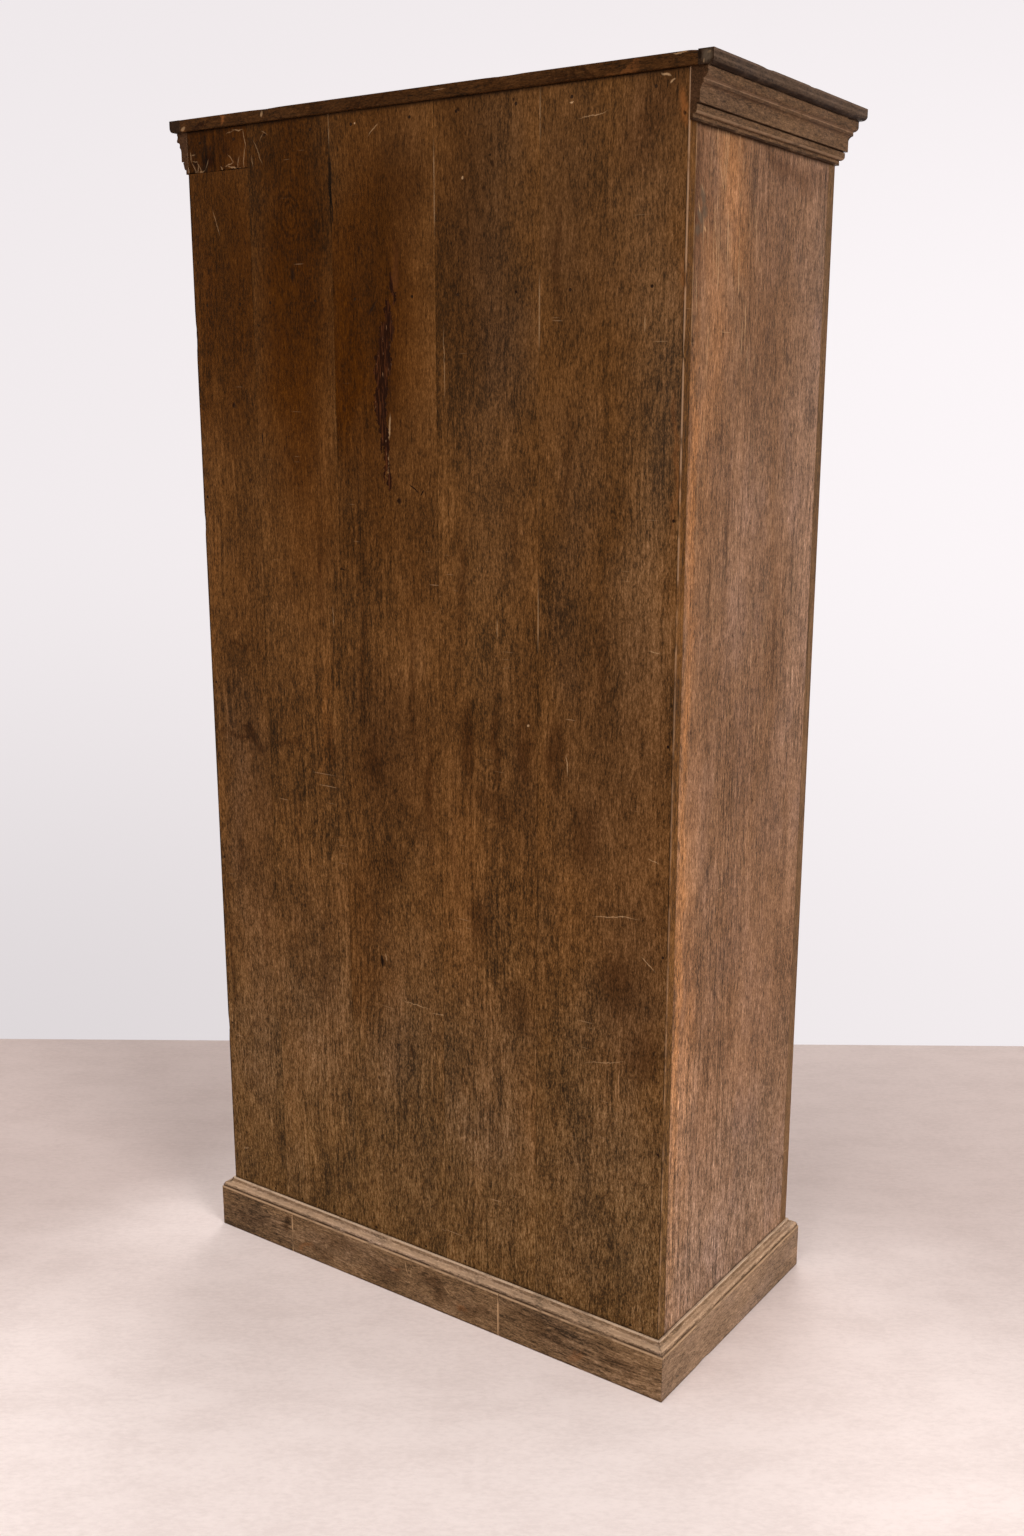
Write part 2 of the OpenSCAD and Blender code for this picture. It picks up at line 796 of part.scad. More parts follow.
// A rail between two heights, grooved along the edges that meet a panel
module door_rail(z0, z1, groove_low, groove_high) {
    x0 = door_x0 + stile_w;
    x1 = door_x1 - stile_w;
    half = panel_edge_t / 2 + groove_spare;
    difference() {
        union() {
            block([x0, y_front, z0], [x1, y_front + door_t, z1]);
            door_tenon_block(x0, -1, z0, z1, 0);
            door_tenon_block(x1, 1, z0, z1, 0);
        }
        if (groove_low)
            block([x0 - past, panel_y - half, z0 - past], [x1 + past, panel_y + half, z0 + groove_d]);
        if (groove_high)
            block([x0 - past, panel_y - half, z1 - groove_d], [x1 + past, panel_y + half, z1 + past]);
    }
}

// Section of a panel across a width: flat behind, with a bevelled field in front
function panel_section(w) = let (
    e = panel_edge_t / 2,
    f = panel_in + panel_bevel,
    h = w / 2,
    g = h - panel_in
) [[-h, e], [h, e], [h, -e], [g, -e], [h - f, -e - panel_rise + panel_step], [h - f, -e - panel_rise],
    [f - h, -e - panel_rise], [f - h, -e - panel_rise + panel_step], [-g, -e], [-h, -e]];

// A panel that fills the grooves between two rails
module panel(z0, z1) {
    w = door_x1 - door_x0 - 2 * stile_w + 2 * panel_in;
    h = z1 - z0 + 2 * panel_in;
    x = (door_x0 + door_x1) / 2;
    intersection() {
        translate([x, panel_y, z0 - panel_in]) linear_extrude(h) polygon(panel_section(w));
        translate([x - w / 2, panel_y, (z0 + z1) / 2]) rotate([0, 90, 0])
            linear_extrude(w) polygon(panel_section(h));
    }
}

module door_top_rail(side) {
    color(WOOD_DOOR) sided(side) door_rail(door_z1 - door_top_h, door_z1, true, false);
}

module door_middle_rail(side) {
    color(WOOD_DOOR) sided(side) door_rail(door_mid_z0, door_mid_z1, true, true);
}

module door_bottom_rail(side) {
    color(WOOD_DOOR) sided(side) door_rail(door_z0, door_z0 + door_low_h, false, true);
}

module door_upper_panel(side) {
    color(WOOD_DOOR) sided(side) panel(door_mid_z1, door_z1 - door_top_h);
}

module door_lower_panel(side) {
    color(WOOD_DOOR) sided(side) panel(door_z0 + door_low_h, door_mid_z0);
}

module left_door_meeting_stile() {
    color(WOOD_DOOR) sided(LEFT) difference() {
        meeting_stile();
        bolt_bar(door_x0 - past, door_x0 + lock_throw + bolt_bar_spare, slip);
        at_bolt_plate_screws() screw(bolt_screw_l, fit);
    }
}

module right_door_meeting_stile() {
    color(WOOD_DOOR) difference() {
        meeting_stile();
        block([door_x0 - past, lock_y0, key_z - lock_low],
            [door_x0 + lock_w, lock_y1 + past, key_z + lock_high]);
        keyhole(y_front - past, lock_y0 + past);
        translate([knob_x, y_front - past, knob_z]) rotate([-90, 0, 0])
            cylinder(r = knob_stem_r + fit, h = door_t + 2 * past);
        at_lock_screws() screw(lock_screw_l, fit);
        at_plate_pins() plate_pin(fit);
    }
}

// Lock, key and knob

module keyhole(y0, y1) {
    translate([key_x, y0, key_z]) rotate([-90, 0, 0]) cylinder(r = key_hole_r, h = y1 - y0);
    block([key_x - key_slot_w / 2, y0, key_z - key_slot_l], [key_x + key_slot_w / 2, y1, key_z]);
}

// The lock bolt's bar from one X to another, or with some space the way that it slides in
module bolt_bar(x0, x1, space) {
    block([x0, bolt_bar_y - space, key_z + bolt_bar_z - space],
        [x1, bolt_bar_y + bolt_bar_t + space, key_z + bolt_bar_z + bolt_bar_h + space]);
}

// The lock case's ears stand above and below it, and hold its screws
module at_lock_screws() {
    for (z = [key_z - lock_low - lock_ear / 2, key_z + lock_high + lock_ear / 2])
        translate([door_x0 + lock_w / 2, lock_y1 + leaf_t, z]) rotate([0, 0, -90]) children();
}

module lock_case() {
    color(BRASS) difference() {
        union() {
            block([door_x0, lock_y0, key_z - lock_low], [door_x0 + lock_w, lock_y1, key_z + lock_high]);
            block([door_x0, lock_y1, key_z - lock_low - lock_ear],
                [door_x0 + lock_w, lock_y1 + leaf_t, key_z + lock_high + lock_ear]);
        }
        block([door_x0 + wall, lock_y0 + wall, key_z - lock_low + wall],
            [door_x0 + lock_w - wall, lock_y1 - wall, key_z + lock_high - wall]);
        bolt_bar(door_x0 - past, door_x0 + wall + past, slip / 2);
        keyhole(lock_y0 - past, lock_y0 + wall + past);
        at_lock_screws() screw(lock_screw_l, fit);
    }
}

// The bolt stands unlocked, with a notch below for the key's bit
module lock_bolt() {
    color(BRASS) difference() {
        bolt_bar(door_x0 + slip, talon_x + talon_w + bolt_bar_tail, 0);
        block([talon_x, bolt_bar_y - past, key_z + bolt_bar_z - past],
            [talon_x + talon_w, bolt_bar_y + bolt_bar_t + past, key_z + bolt_bar_z + talon_h]);
    }
}

module key() {
    tip = lock_y1 - wall - slip;
    color(IRON) translate([key_x, 0, key_z]) {
        translate([0, y_front - key_out, 0]) rotate([-90, 0, 0])
            cylinder(r = key_r, h = tip - y_front + key_out);
        block([-bit_t / 2, tip - bit_w, -bit_reach], [bit_t / 2, tip, 0]);
        translate([0, y_front - key_out - bow_r, 0]) rotate([0, 90, 0])
            rotate_extrude() translate([bow_r, 0]) circle(r = bow_t);
        translate([0, y_front - key_out - bow_t, 0]) rotate([-90, 0, 0])
            cylinder(r = key_collar_r, h = key_collar_h);
    }
}

module at_plate_pins() {
    for (z = [key_z + plate_rise + plate_r / 2, key_z - plate_rise - plate_r / 2])
        translate([key_x, y_front, z]) children();
}

module plate_pin(space) {
    translate([0, -plate_t - space, 0]) rotate([-90, 0, 0])
        cylinder(r = plate_pin_r + space, h = plate_pin_l + 2 * space);
}

module keyhole_plate() {
    color(BRASS) difference() {
        union() {
            for (a = [LEFT, RIGHT]) translate([key_x, y_front - plate_t, key_z + a * plate_rise])
                rotate([-90, 0, 0]) cylinder(r = plate_r, h = plate_t);
            block([key_x - plate_r, y_front - plate_t, key_z - plate_rise],
                [key_x + plate_r, y_front, key_z + plate_rise]);
        }
        keyhole(y_front - plate_t - past, y_front + past);
        at_plate_pins() plate_pin(fit);
    }
}

// The knob's section: out from its axis, and along it from the door's face
module knob_section() {
    translate([0, knob_short - door_t]) square([knob_stem_r, door_t + knob_neck - knob_short]);
    square([knob_base_r, knob_base_t]);
    intersection() {
        translate([0, knob_ball_z]) circle(r = knob_r);
        translate([0, knob_neck - knob_shoulder]) square([knob_r, knob_r + knob_shoulder]);
    }
}

module door_knob() {
    color(BRASS) translate([knob_x, y_front, knob_z]) rotate([90, 0, 0]) rotate_extrude() knob_section();
}

// Sliding bolts, drawn for the +X side and mirrored, the upper or the lower one

// The middle of a bolt's plate
function plate_mid(which) = (which == UPPER ? upper_plate_z : lower_plate_z) + bolt_plate_h / 2;

module at_bolt_plate_screws() {
    for (which = [UPPER, LOWER], z = [-bolt_plate_screw_z, bolt_plate_screw_z], a = [LEFT, RIGHT])
        translate([bolt_x + a * bolt_screw_x, bolt_y0 + bolt_plate_t, plate_mid(which) + z])
            rotate([0, 0, -90]) children();
}

module bolt_plates() {
    color(BRASS) sided(LEFT) for (which = [UPPER, LOWER]) translate([bolt_x, 0, plate_mid(which)])
        difference() {
            union() {
                block([-bolt_plate_w / 2, bolt_y0, -bolt_plate_h / 2],
                    [bolt_plate_w / 2, bolt_y0 + bolt_plate_t, bolt_plate_h / 2]);
                for (a = [UPPER, LOWER]) translate([0, 0, a * bridge_z])
                    block([-bridge_w / 2, bolt_y0, -bridge_h / 2],
                        [bridge_w / 2, bolt_y0 + bolt_plate_t + bridge_d, bridge_h / 2]);
            }
            translate([0, bolt_y, -bolt_plate_h / 2 - past])
                cylinder(r = bolt_r + fit, h = bolt_plate_h + 2 * past);
            for (z = [-bolt_plate_screw_z, bolt_plate_screw_z], a = [LEFT, RIGHT])
                translate([a * bolt_screw_x, bolt_y0 + bolt_plate_t, z])
                    rotate([0, 0, -90]) screw(bolt_screw_l, fit);
        }
}

module sliding_bolt(which) {
    from = -bolt_plate_h / 2 + bridge_inset - bolt_over;
    to = bolt_plate_h / 2 + bolt_over;
    turned = which == UPPER ? 0 : 1;
    color(IRON) sided(LEFT) translate([bolt_x, bolt_y, plate_mid(which)]) mirror([0, 0, turned]) {
        translate([0, 0, from]) cylinder(r = bolt_r, h = to - from);
        rotate([-90, 0, 0]) cylinder(r = bolt_knob_r - 1, h = bolt_r + bolt_knob_l);
        translate([0, bolt_r + bolt_knob_l - bolt_knob_end, 0]) rotate([-90, 0, 0])
            cylinder(r = bolt_knob_r, h = bolt_knob_end);
    }
}

module left_door_screws() {
    color(IRON) sided(LEFT) {
        at_door_hinge_screws() screw(screw_l - fit, 0);
        at_bolt_plate_screws() screw(bolt_screw_l - fit, 0);
    }
}

module right_door_screws() {
    color(IRON) {
        at_door_hinge_screws() screw(screw_l - fit, 0);
        at_lock_screws() screw(lock_screw_l - fit, 0);
        at_plate_pins() plate_pin(0);
    }
}

left_side();
right_side();
back_board(0, back_foot, z_cornice);  // back_board_1
back_board(1, back_foot, z_under_top);  // back_board_2
back_board(2, back_foot, z_under_top);  // back_board_3
back_board(3, back_foot, z_under_top);  // back_board_4
back_board(4, back_foot, z_under_top);  // back_board_5
back_board(0, z_cornice + hairline, z_under_top);  // back_corner_patch
top_board();
top_edging_left();
top_edging_right();
top_edging_front();
cornice_left();
cornice_right();
cornice_front();
frame_upright_left();
frame_upright_right();
frame_top_rail();
plinth_board(front_plan(plinth_t));  // plinth_front
sided(LEFT) plinth_board(side_plan(plinth_t, 0));  // plinth_left
plinth_board(side_plan(plinth_t, 0));  // plinth_right
plinth_back(0);  // plinth_back_1
plinth_back(1);  // plinth_back_2
plinth_back(2);  // plinth_back_3
plinth_mouldings();
floor_board();
hat_shelf();
battens();
hanging_rail();
rail_sockets();
back_nails();
frame_hinge_leaves();
hinge_pins();
frame_screws();
color(WOOD_DOOR) sided(LEFT) hinge_stile();  // left_door_hinge_stile
left_door_meeting_stile();
door_top_rail(LEFT);  // left_door_top_rail
door_middle_rail(LEFT);  // left_door_middle_rail
door_bottom_rail(LEFT);  // left_door_bottom_rail
door_upper_panel(LEFT);  // left_door_upper_panel
door_lower_panel(LEFT);  // left_door_lower_panel
door_hinge_leaves(LEFT);  // left_door_hinge_leaves
left_door_screws();
bolt_plates();
sliding_bolt(UPPER);  // top_bolt
sliding_bolt(LOWER);  // bottom_bolt
color(WOOD_DOOR) hinge_stile();  // right_door_hinge_stile
right_door_meeting_stile();
door_top_rail(RIGHT);  // right_door_top_rail
door_middle_rail(RIGHT);  // right_door_middle_rail
door_bottom_rail(RIGHT);  // right_door_bottom_rail
door_upper_panel(RIGHT);  // right_door_upper_panel
door_lower_panel(RIGHT);  // right_door_lower_panel
door_hinge_leaves(RIGHT);  // right_door_hinge_leaves
right_door_screws();
lock_case();
lock_bolt();
key();
keyhole_plate();
door_knob();
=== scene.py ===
"""An old wardrobe seen from behind: worn wood, aged brass and iron, a pale floor and soft studio light."""
import json
import math
from functools import reduce

import bmesh
import bpy
from mathutils import Matrix, Vector, noise


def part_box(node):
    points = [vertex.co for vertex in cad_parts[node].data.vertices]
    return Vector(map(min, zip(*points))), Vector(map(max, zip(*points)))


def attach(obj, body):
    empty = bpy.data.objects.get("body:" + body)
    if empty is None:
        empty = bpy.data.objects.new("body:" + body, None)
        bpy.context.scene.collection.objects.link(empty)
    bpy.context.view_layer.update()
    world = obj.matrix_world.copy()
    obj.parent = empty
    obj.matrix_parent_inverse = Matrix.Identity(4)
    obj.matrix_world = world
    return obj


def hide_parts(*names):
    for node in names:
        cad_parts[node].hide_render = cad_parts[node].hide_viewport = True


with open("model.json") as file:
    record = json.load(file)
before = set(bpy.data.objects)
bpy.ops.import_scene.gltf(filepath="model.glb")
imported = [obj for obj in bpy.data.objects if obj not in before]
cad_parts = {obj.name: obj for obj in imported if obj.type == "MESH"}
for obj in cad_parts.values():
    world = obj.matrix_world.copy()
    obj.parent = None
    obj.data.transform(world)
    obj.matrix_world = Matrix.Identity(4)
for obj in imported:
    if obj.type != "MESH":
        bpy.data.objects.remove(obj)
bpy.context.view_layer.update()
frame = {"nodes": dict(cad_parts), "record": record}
nodes = frame["nodes"]
record = frame["record"]
body_of = {node: body for body, members in record["behaviour"]["bodies"].items() for node in members}
slot_of = {part["node"]: part["material_slot"] for part in record["subparts"]}

MM = 0.001
X, Y, Z = 0, 1, 2


def new_object(name, data):
    made = bpy.data.objects.new(name, data)
    bpy.context.scene.collection.objects.link(made)
    return made


# Colours, written as the red, green and blue of a screen and turned into linear light

def rgb(red, green, blue):
    def linear(value):
        value /= 255
        return value / 12.92 if value <= 0.04045 else ((value + 0.055) / 1.055) ** 2.4
    return (linear(red), linear(green), linear(blue), 1.0)


# Node trees

class Tree:
    """A material's or the world's node tree. Each method adds nodes and returns an output socket."""

    def __init__(self, owner):
        owner.use_nodes = True
        self.nodes = owner.node_tree.nodes
        self.links = owner.node_tree.links
        self.nodes.clear()

    def add(self, kind, inputs=None, **settings):
        made = self.nodes.new("ShaderNode" + kind)
        for name, value in settings.items():
            setattr(made, name, value)
        for name, value in (inputs or {}).items():
            if isinstance(value, bpy.types.NodeSocket):
                self.links.new(value, made.inputs[name])
            else:
                made.inputs[name].default_value = value
        return made

    def coordinates(self, kind):
        return self.add("TexCoord").outputs[kind]

    def attribute(self, name):
        return self.add("Attribute", attribute_name=name).outputs["Fac"]

    def split(self, vector):
        """The x, y and z of a vector."""
        outputs = self.add("SeparateXYZ", {"Vector": vector}).outputs
        return [outputs[axis] for axis in "XYZ"]

    def join(self, x, y, z):
        return self.add("CombineXYZ", {"X": x, "Y": y, "Z": z}).outputs[0]

    def maths(self, operation, a, b=0.0):
        return self.add("Math", {0: a, 1: b}, operation=operation).outputs[0]

    def vector(self, operation, a, b=(0, 0, 0)):
        made = self.add("VectorMath", {0: a, 1: b}, operation=operation)
        return made.outputs["Value" if operation in ("LENGTH", "DOT_PRODUCT") else "Vector"]

    def plus(self, *values):
        return reduce(lambda a, b: self.maths("ADD", a, b), values)

    def times(self, *values):
        return reduce(lambda a, b: self.maths("MULTIPLY", a, b), values)

    def most(self, *values):
        """The greatest of several values."""
        return reduce(lambda a, b: self.maths("MAXIMUM", a, b), values)

    def off(self, value, at):
        """How far a coordinate is from a place in mm."""
        return self.maths("ABSOLUTE", self.maths("SUBTRACT", value, at * MM))

    def between(self, value, low, high, to_low=0.0, to_high=1.0):
        """A smooth step of a value, clamped."""
        inputs = {"Value": value, "From Min": low, "From Max": high, "To Min": to_low, "To Max": to_high}
        return self.add("MapRange", inputs, interpolation_type="SMOOTHSTEP").outputs[0]

    def noise(self, vector, scale=1.0, detail=2.0, roughness=0.55, output="Fac"):
        inputs = {"Vector": vector, "Scale": scale, "Detail": detail, "Roughness": roughness}
        return self.add("TexNoise", inputs).outputs[output]

    def mix(self, factor, a, b, blend="MIX"):
        return self.add("Mix", {"Factor": factor, 6: a, 7: b}, data_type="RGBA", blend_type=blend).outputs[2]

    def ramp(self, factor, stops):
        made = self.add("ValToRGB", {"Fac": factor})
        elements = made.color_ramp.elements
        while len(elements) < len(stops):
            elements.new(0.5)
        for element, (place, colour) in zip(elements, stops):
            element.position = place
            element.color = colour
        return made.outputs["Color"]

    def surface(self, colour, roughness, height, bump, **constants):
        """The principled shader over a bump, with constants on its own sockets."""
        bumped = self.add("Bump", {"Height": height, "Strength": bump, "Distance": MM}).outputs[0]
        shader = self.add("BsdfPrincipled", {"Base Color": colour, "Roughness": roughness, "Normal": bumped})
        for name, value in constants.items():
            shader.inputs[name.replace("_", " ").title().replace("Ior", "IOR")].default_value = value
        self.add("OutputMaterial", {"Surface": shader.outputs[0]})


# Wood

SHEEN, SHEEN_TINT = 0.05, (1.0, 0.76, 0.50, 1.0)
VEIL, END_GRAIN = (1.06, 1.14, 1.40, 1.0), (0.42, 0.34, 0.28, 1.0)
# The grime colour is painted shade with some grime; the dirt colour is dirt with painted shade in the inner corners
GRIME_AND_SHADE, DIRT_AND_SHADE = rgb(34, 21, 12), rgb(26, 16, 9)
# Pale bare wood on worn arrises, and the pale arris line, are partly painted highlight
BARE_AND_HIGHLIGHT, SCRATCH, ARRIS_WEAR_AND_HIGHLIGHT = rgb(172, 132, 98), rgb(176, 140, 104), rgb(154, 120, 92)
SPLINTER, GLINT = rgb(92, 50, 24), rgb(160, 118, 84)
# The shares of fine grain, specks and streaks
WEIGHTS = (1.75, 1.7, 1.7)
# How far apart two pieces lie in the same noise
APART = 9.0
# Places on a ramp, and how much brighter and greyer than its middle they are
STOPS = ((0.0, 0.30, 0.0), (0.3, 0.64, 0.0), (0.5, 1.0, 0.0), (0.7, 1.27, 0.10), (1.0, 1.75, 0.22))
BRIGHTEST = 250
# The fading of a seam's ends, and its half widths, in mm
SEAM_FADE, SEAM_EDGE, SEAM_CORE = 25, 1.6, 0.3
ARRIS_EDGE, ARRIS_CORE = 2.6, 1.2
SCRATCH_TILTS = (18, -40, 74)
# Waves in the grain, and the spaces that marks are drawn in: a noise's scale, detail, roughness and reach
WAVES = (2.6, 2.0, 0.5, (0.03, 0.03, 0.03))
SPACES = {
    "near": (34.0, 4.0, 0.6, (0.009, 0, 0.016)),
    "torn": (55.0, 5.0, 0.7, (0.028, 0, 0.07)),
    "mid": (14.0, 5.0, 0.65, (0.05, 0, 0.12)),
    "far": (4.0, 3.0, 0.5, (0.16, 0, 0.40)),
}


def shades(middle):
    """A ramp of one wood from its darkest streak to its palest, round its middle colour."""
    grey = sum(middle) / 3
    return [(place, rgb(*(min(BRIGHTEST, times * (value + (grey - value) * dull)) for value in middle)))
            for place, times, dull in STOPS]


class Wood(Tree):
    """The node tree of old wood, with a method for each layer of its colour."""

    def __init__(self, owner, grain, seed, face):
        super().__init__(owner)
        self.grain, self.seed, self.colour = grain, seed, None
        self.here = self.coordinates("Object")
        self.normal = self.coordinates("Normal")
        self.x, self.y, self.z = self.split(self.here)
        self.sideways = self.x if face == "xz" else self.y
        self.turned = self.attribute("turned")
        shift = self.times(self.add("ObjectInfo").outputs["Random"], APART)
        self.place = self.vector("ADD", self.turn(self.here), self.join(shift, seed, seed * 0.7))
        self.wavy = self.wobble(self.place, self.place, *WAVES)
        along_grain = self.maths("ABSOLUTE", self.split(self.turn(self.normal))[grain])
        self.end_grain = self.between(along_grain, 0.75, 0.95)
        outward = self.maths("ABSOLUTE", self.split(self.normal)[Y if face == "xz" else X])
        self.square_on = self.between(outward, 0.2, 0.6)
        self.cloud = self.drawn(self.place, 4.2, 2.0, 4, 0.6)
        self.patch = self.drawn(self.wavy, 19, 10, 5, 0.72)
        self.streak = self.drawn(self.wavy, 150, 5, 3, 0.65)
        self.fine = self.drawn(self.wavy, 260, 60, 4, 0.8)
        self.pores = self.times(self.between(self.drawn(self.place, 480, 36, detail=1), 0.62, 0.70),
                                self.between(self.patch, 0.40, 0.60, 0.25, 1.0))

    def paint(self, mask, shade, blend="MIX"):
        """Lays a shade over the colour so far."""
        self.colour = self.mix(mask, self.colour, shade, blend)

    def turn(self, vector):
        """Swaps x and y on turned faces, so that a moulding's grain runs along it."""
        x, y, z = self.split(vector)
        inputs = {"Factor": self.turned, 4: vector, 5: self.join(y, x, z)}
        return self.add("Mix", inputs, data_type="VECTOR").outputs[1]

    def wobble(self, vector, source, scale, detail, roughness, reach):
        """A vector moved about by a noise over another vector."""
        shift = self.noise(source, scale, detail, roughness, "Color")
        shift = self.vector("SUBTRACT", shift, (0.5, 0.5, 0.5))
        return self.vector("ADD", vector, self.vector("MULTIPLY", shift, reach))

    def drawn(self, vector, across, along, detail=2.0, roughness=0.55):
        """Noise drawn out along the grain, so fine across it and along it."""
        scale = [across] * 3
        scale[self.grain] = along
        stretched = self.add("Mapping", {"Vector": vector, "Scale": scale}).outputs[0]
        return self.noise(stretched, detail=detail, roughness=roughness)

    def about(self, value, amount):
        """How far a noise is from its middle, times an amount."""
        return self.times(self.maths("SUBTRACT", value, 0.5), amount)

    def broken(self, scale, low, high, least, detail=3):
        """A mask that fades a line in places, down to its least."""
        return self.between(self.noise(self.here, scale, detail=detail), low, high, least, 1.0)

    def inside(self, vector, across, z, half_width, half_height, tilt=0, half_depth=1):
        """The distance from the middle of an ellipse in mm, which is 1 on its outline."""
        inputs = {"Vector": vector, "Location": (across * MM, 0, z * MM), "Rotation": (0, math.radians(tilt), 0),
                  "Scale": (half_width * MM, half_depth, half_height * MM)}
        return self.vector("LENGTH", self.add("Mapping", inputs, vector_type="TEXTURE").outputs[0])

    def figure(self, x, z, half_width, half_height, rings):
        """Concentric ovals of grain, as where a board's face cuts a bent log."""
        out = self.inside(self.here, x, z, half_width, half_height, half_depth=1e3)
        out = self.plus(out, self.times(self.noise(self.here, 30, detail=3), 0.5))
        wave = self.maths("SINE", self.times(out, 2 * math.pi * rings))
        return self.times(wave, self.between(out, 1.3, 0.6, 0.0, 0.15))

    def tone(self, contrast, lively, weights, figures):
        """Where each point lies on the ramp of shades, about 0.5."""
        specks = self.drawn(self.place, 560, 190, 3, 0.85)
        streaky = self.between(self.drawn(self.place, 6, 2), 0.45, 0.62, 0.1, 1.0)
        dapple = self.drawn(self.wavy, 48, 15, 3, 0.6)
        flecks = self.times(self.between(self.drawn(self.place, 430, 40, detail=1), 0.64, 0.74),
                            self.between(self.patch, 0.60, 0.42, 0.1, 1.0))
        fibres = self.times(self.between(self.drawn(self.wavy, 620, 11, detail=1), 0.70, 0.78),
                            self.between(self.cloud, 0.46, 0.60))
        rough = self.plus(self.about(self.fine, weights[0]), self.about(specks, weights[1]),
                          self.times(self.about(self.streak, weights[2]), streaky), self.about(dapple, 0.4),
                          self.times(self.pores, -0.20), self.times(flecks, 0.20), self.times(fibres, 0.30),
                          *(self.figure(*figure) for figure in figures))
        strength = self.between(self.z, 0.5, 1.9, lively[0] * contrast, lively[1] * contrast)
        patchy = self.between(self.z, 0.4, 1.9, 0.62 * contrast, 0.36 * contrast)
        return self.plus(0.5, self.about(self.cloud, 0.8 * contrast), self.about(self.patch, patchy),
                         self.times(rough, strength))

    def age(self, dust, shade_and_grime):
        """A pale veil, dark end grain, dust low down, and painted shade with some grime in soft bands at set heights.
        """
        veil = self.between(self.drawn(self.place, 9, 5, 5, 0.65), 0.46, 0.66)
        self.paint(self.times(veil, 0.4), VEIL, "MULTIPLY")
        self.paint(self.end_grain, END_GRAIN, "MULTIPLY")
        if dust:
            low, high, factors, amount = dust
            uneven = self.plus(self.z, self.about(self.cloud, 1.1))
            dusty = self.times(self.between(uneven, high * MM, low * MM, 0.0, amount),
                               self.between(self.fine, 0.36, 0.58, 0.35, 1.0))
            self.paint(dusty, (*factors, 1.0), "MULTIPLY")
        # Painted shade, with some grime, in soft bands under the top board or cornice and over the plinth
        for full, none, strength in shade_and_grime:
            edge = self.plus(self.z, self.about(self.patch, 0.008))
            self.paint(self.between(edge, none * MM, full * MM, 0.0, strength), GRIME_AND_SHADE)

    def draw_shade_and_highlight(self, lines):
        """Painted shade and painted highlight as level lines along a moulding: height, half width, colour and
        strength.
        """
        shown = self.times(self.maths("SUBTRACT", 1.0, self.end_grain), self.broken(30, 0.34, 0.54, 0.35))
        for at, half, shade, strength in lines:
            line = self.between(self.off(self.z, at), 1.5 * half * MM, 0.4 * half * MM, 0.0, strength)
            self.paint(self.times(line, shown), rgb(*shade))

    def draw_marks(self, marks):
        """The marks on the face. Returns a mask of the dents among them."""
        flat = self.join(self.sideways, 0.0, self.z)
        spaces = {space: self.wobble(flat, self.here, *noises) for space, noises in SPACES.items()}
        dents = []
        for kind, (shade, blend, outer, inner, space) in KINDS.items():
            found = [self.ellipse(spaces[space], outer, inner, *mark) for mark in marks.get(kind, ())]
            if not found:
                continue
            mask = self.times(self.most(*found), self.square_on)
            shade = (*shade, 1.0) if blend == "MULTIPLY" else rgb(*shade)
            if kind == "scar":
                mask, shade = self.torn(mask, shade)
            elif kind == "hairs":
                mask = self.times(mask, self.between(self.drawn(self.wavy, 300, 7, detail=1), 0.64, 0.72))
            elif space != "far":
                mask = self.times(mask, self.between(self.fine, 0.30, 0.52, 0.4, 1.0))
            self.paint(mask, shade, blend)
            if kind in DENTED:
                dents.append(mask)
        return self.most(*dents) if dents else 0.0

    def ellipse(self, vector, outer, inner, across, z, half_width, half_height, strength=1, tilt=0):
        """A soft ellipse that starts at outer and is full at inner times its size."""
        inside = self.inside(vector, across, z, half_width, half_height, tilt)
        return self.between(inside, outer, inner, 0.0, strength)

    def torn(self, mask, shade):
        """A scar's ragged mask, and its colour with splinters and glints."""
        ragged = self.drawn(self.wavy, 190, 30, 5, 0.78)
        mask = self.between(self.times(mask, ragged, 2.4), 0.36, 0.52)
        splinters = self.between(self.drawn(self.wavy, 420, 26, detail=3), 0.50, 0.64)
        shade = self.mix(self.times(splinters, 0.6), shade, SPLINTER)
        glints = self.between(self.drawn(self.place, 500, 60), 0.66, 0.74)
        return mask, self.mix(self.times(glints, 0.7), shade, GLINT)

    def draw_seams(self, seams):
        """Upright lines on joints: place, lowest and highest point, colour and strength."""
        for at, low, high, shade, strength in seams:
            line = self.between(self.off(self.sideways, at), SEAM_EDGE * MM, SEAM_CORE * MM, 0.0, strength)
            line = self.times(line, self.between(self.z, (low - SEAM_FADE) * MM, (low + SEAM_FADE) * MM),
                              self.between(self.z, (high + SEAM_FADE) * MM, (high - SEAM_FADE) * MM),
                              self.broken(24, 0.36, 0.56, 0.1))
            self.paint(line, rgb(*shade))

    def draw_inside(self, tone, inward):
        """Paler and calmer wood on the faces that look inward."""
        calm = self.ramp(self.plus(0.5, self.about(tone, 0.4)), shades(INSIDE))
        self.paint(self.between(self.vector("DOT_PRODUCT", self.normal, inward), 0.3, 0.7), calm)

    def draw_arris(self, x, y):
        """A thin pale line down the upright arris at a place: worn wood and a painted highlight, stronger high up."""
        away = self.most(self.off(self.x, x), self.off(self.y, y))
        line = self.times(self.between(away, ARRIS_EDGE * MM, ARRIS_CORE * MM, 0.0, 0.75),
                          self.between(self.z, 1.0, 1.6, 0.45, 1.0), self.broken(20, 0.38, 0.54, 0.1))
        self.paint(line, ARRIS_WEAR_AND_HIGHLIGHT)

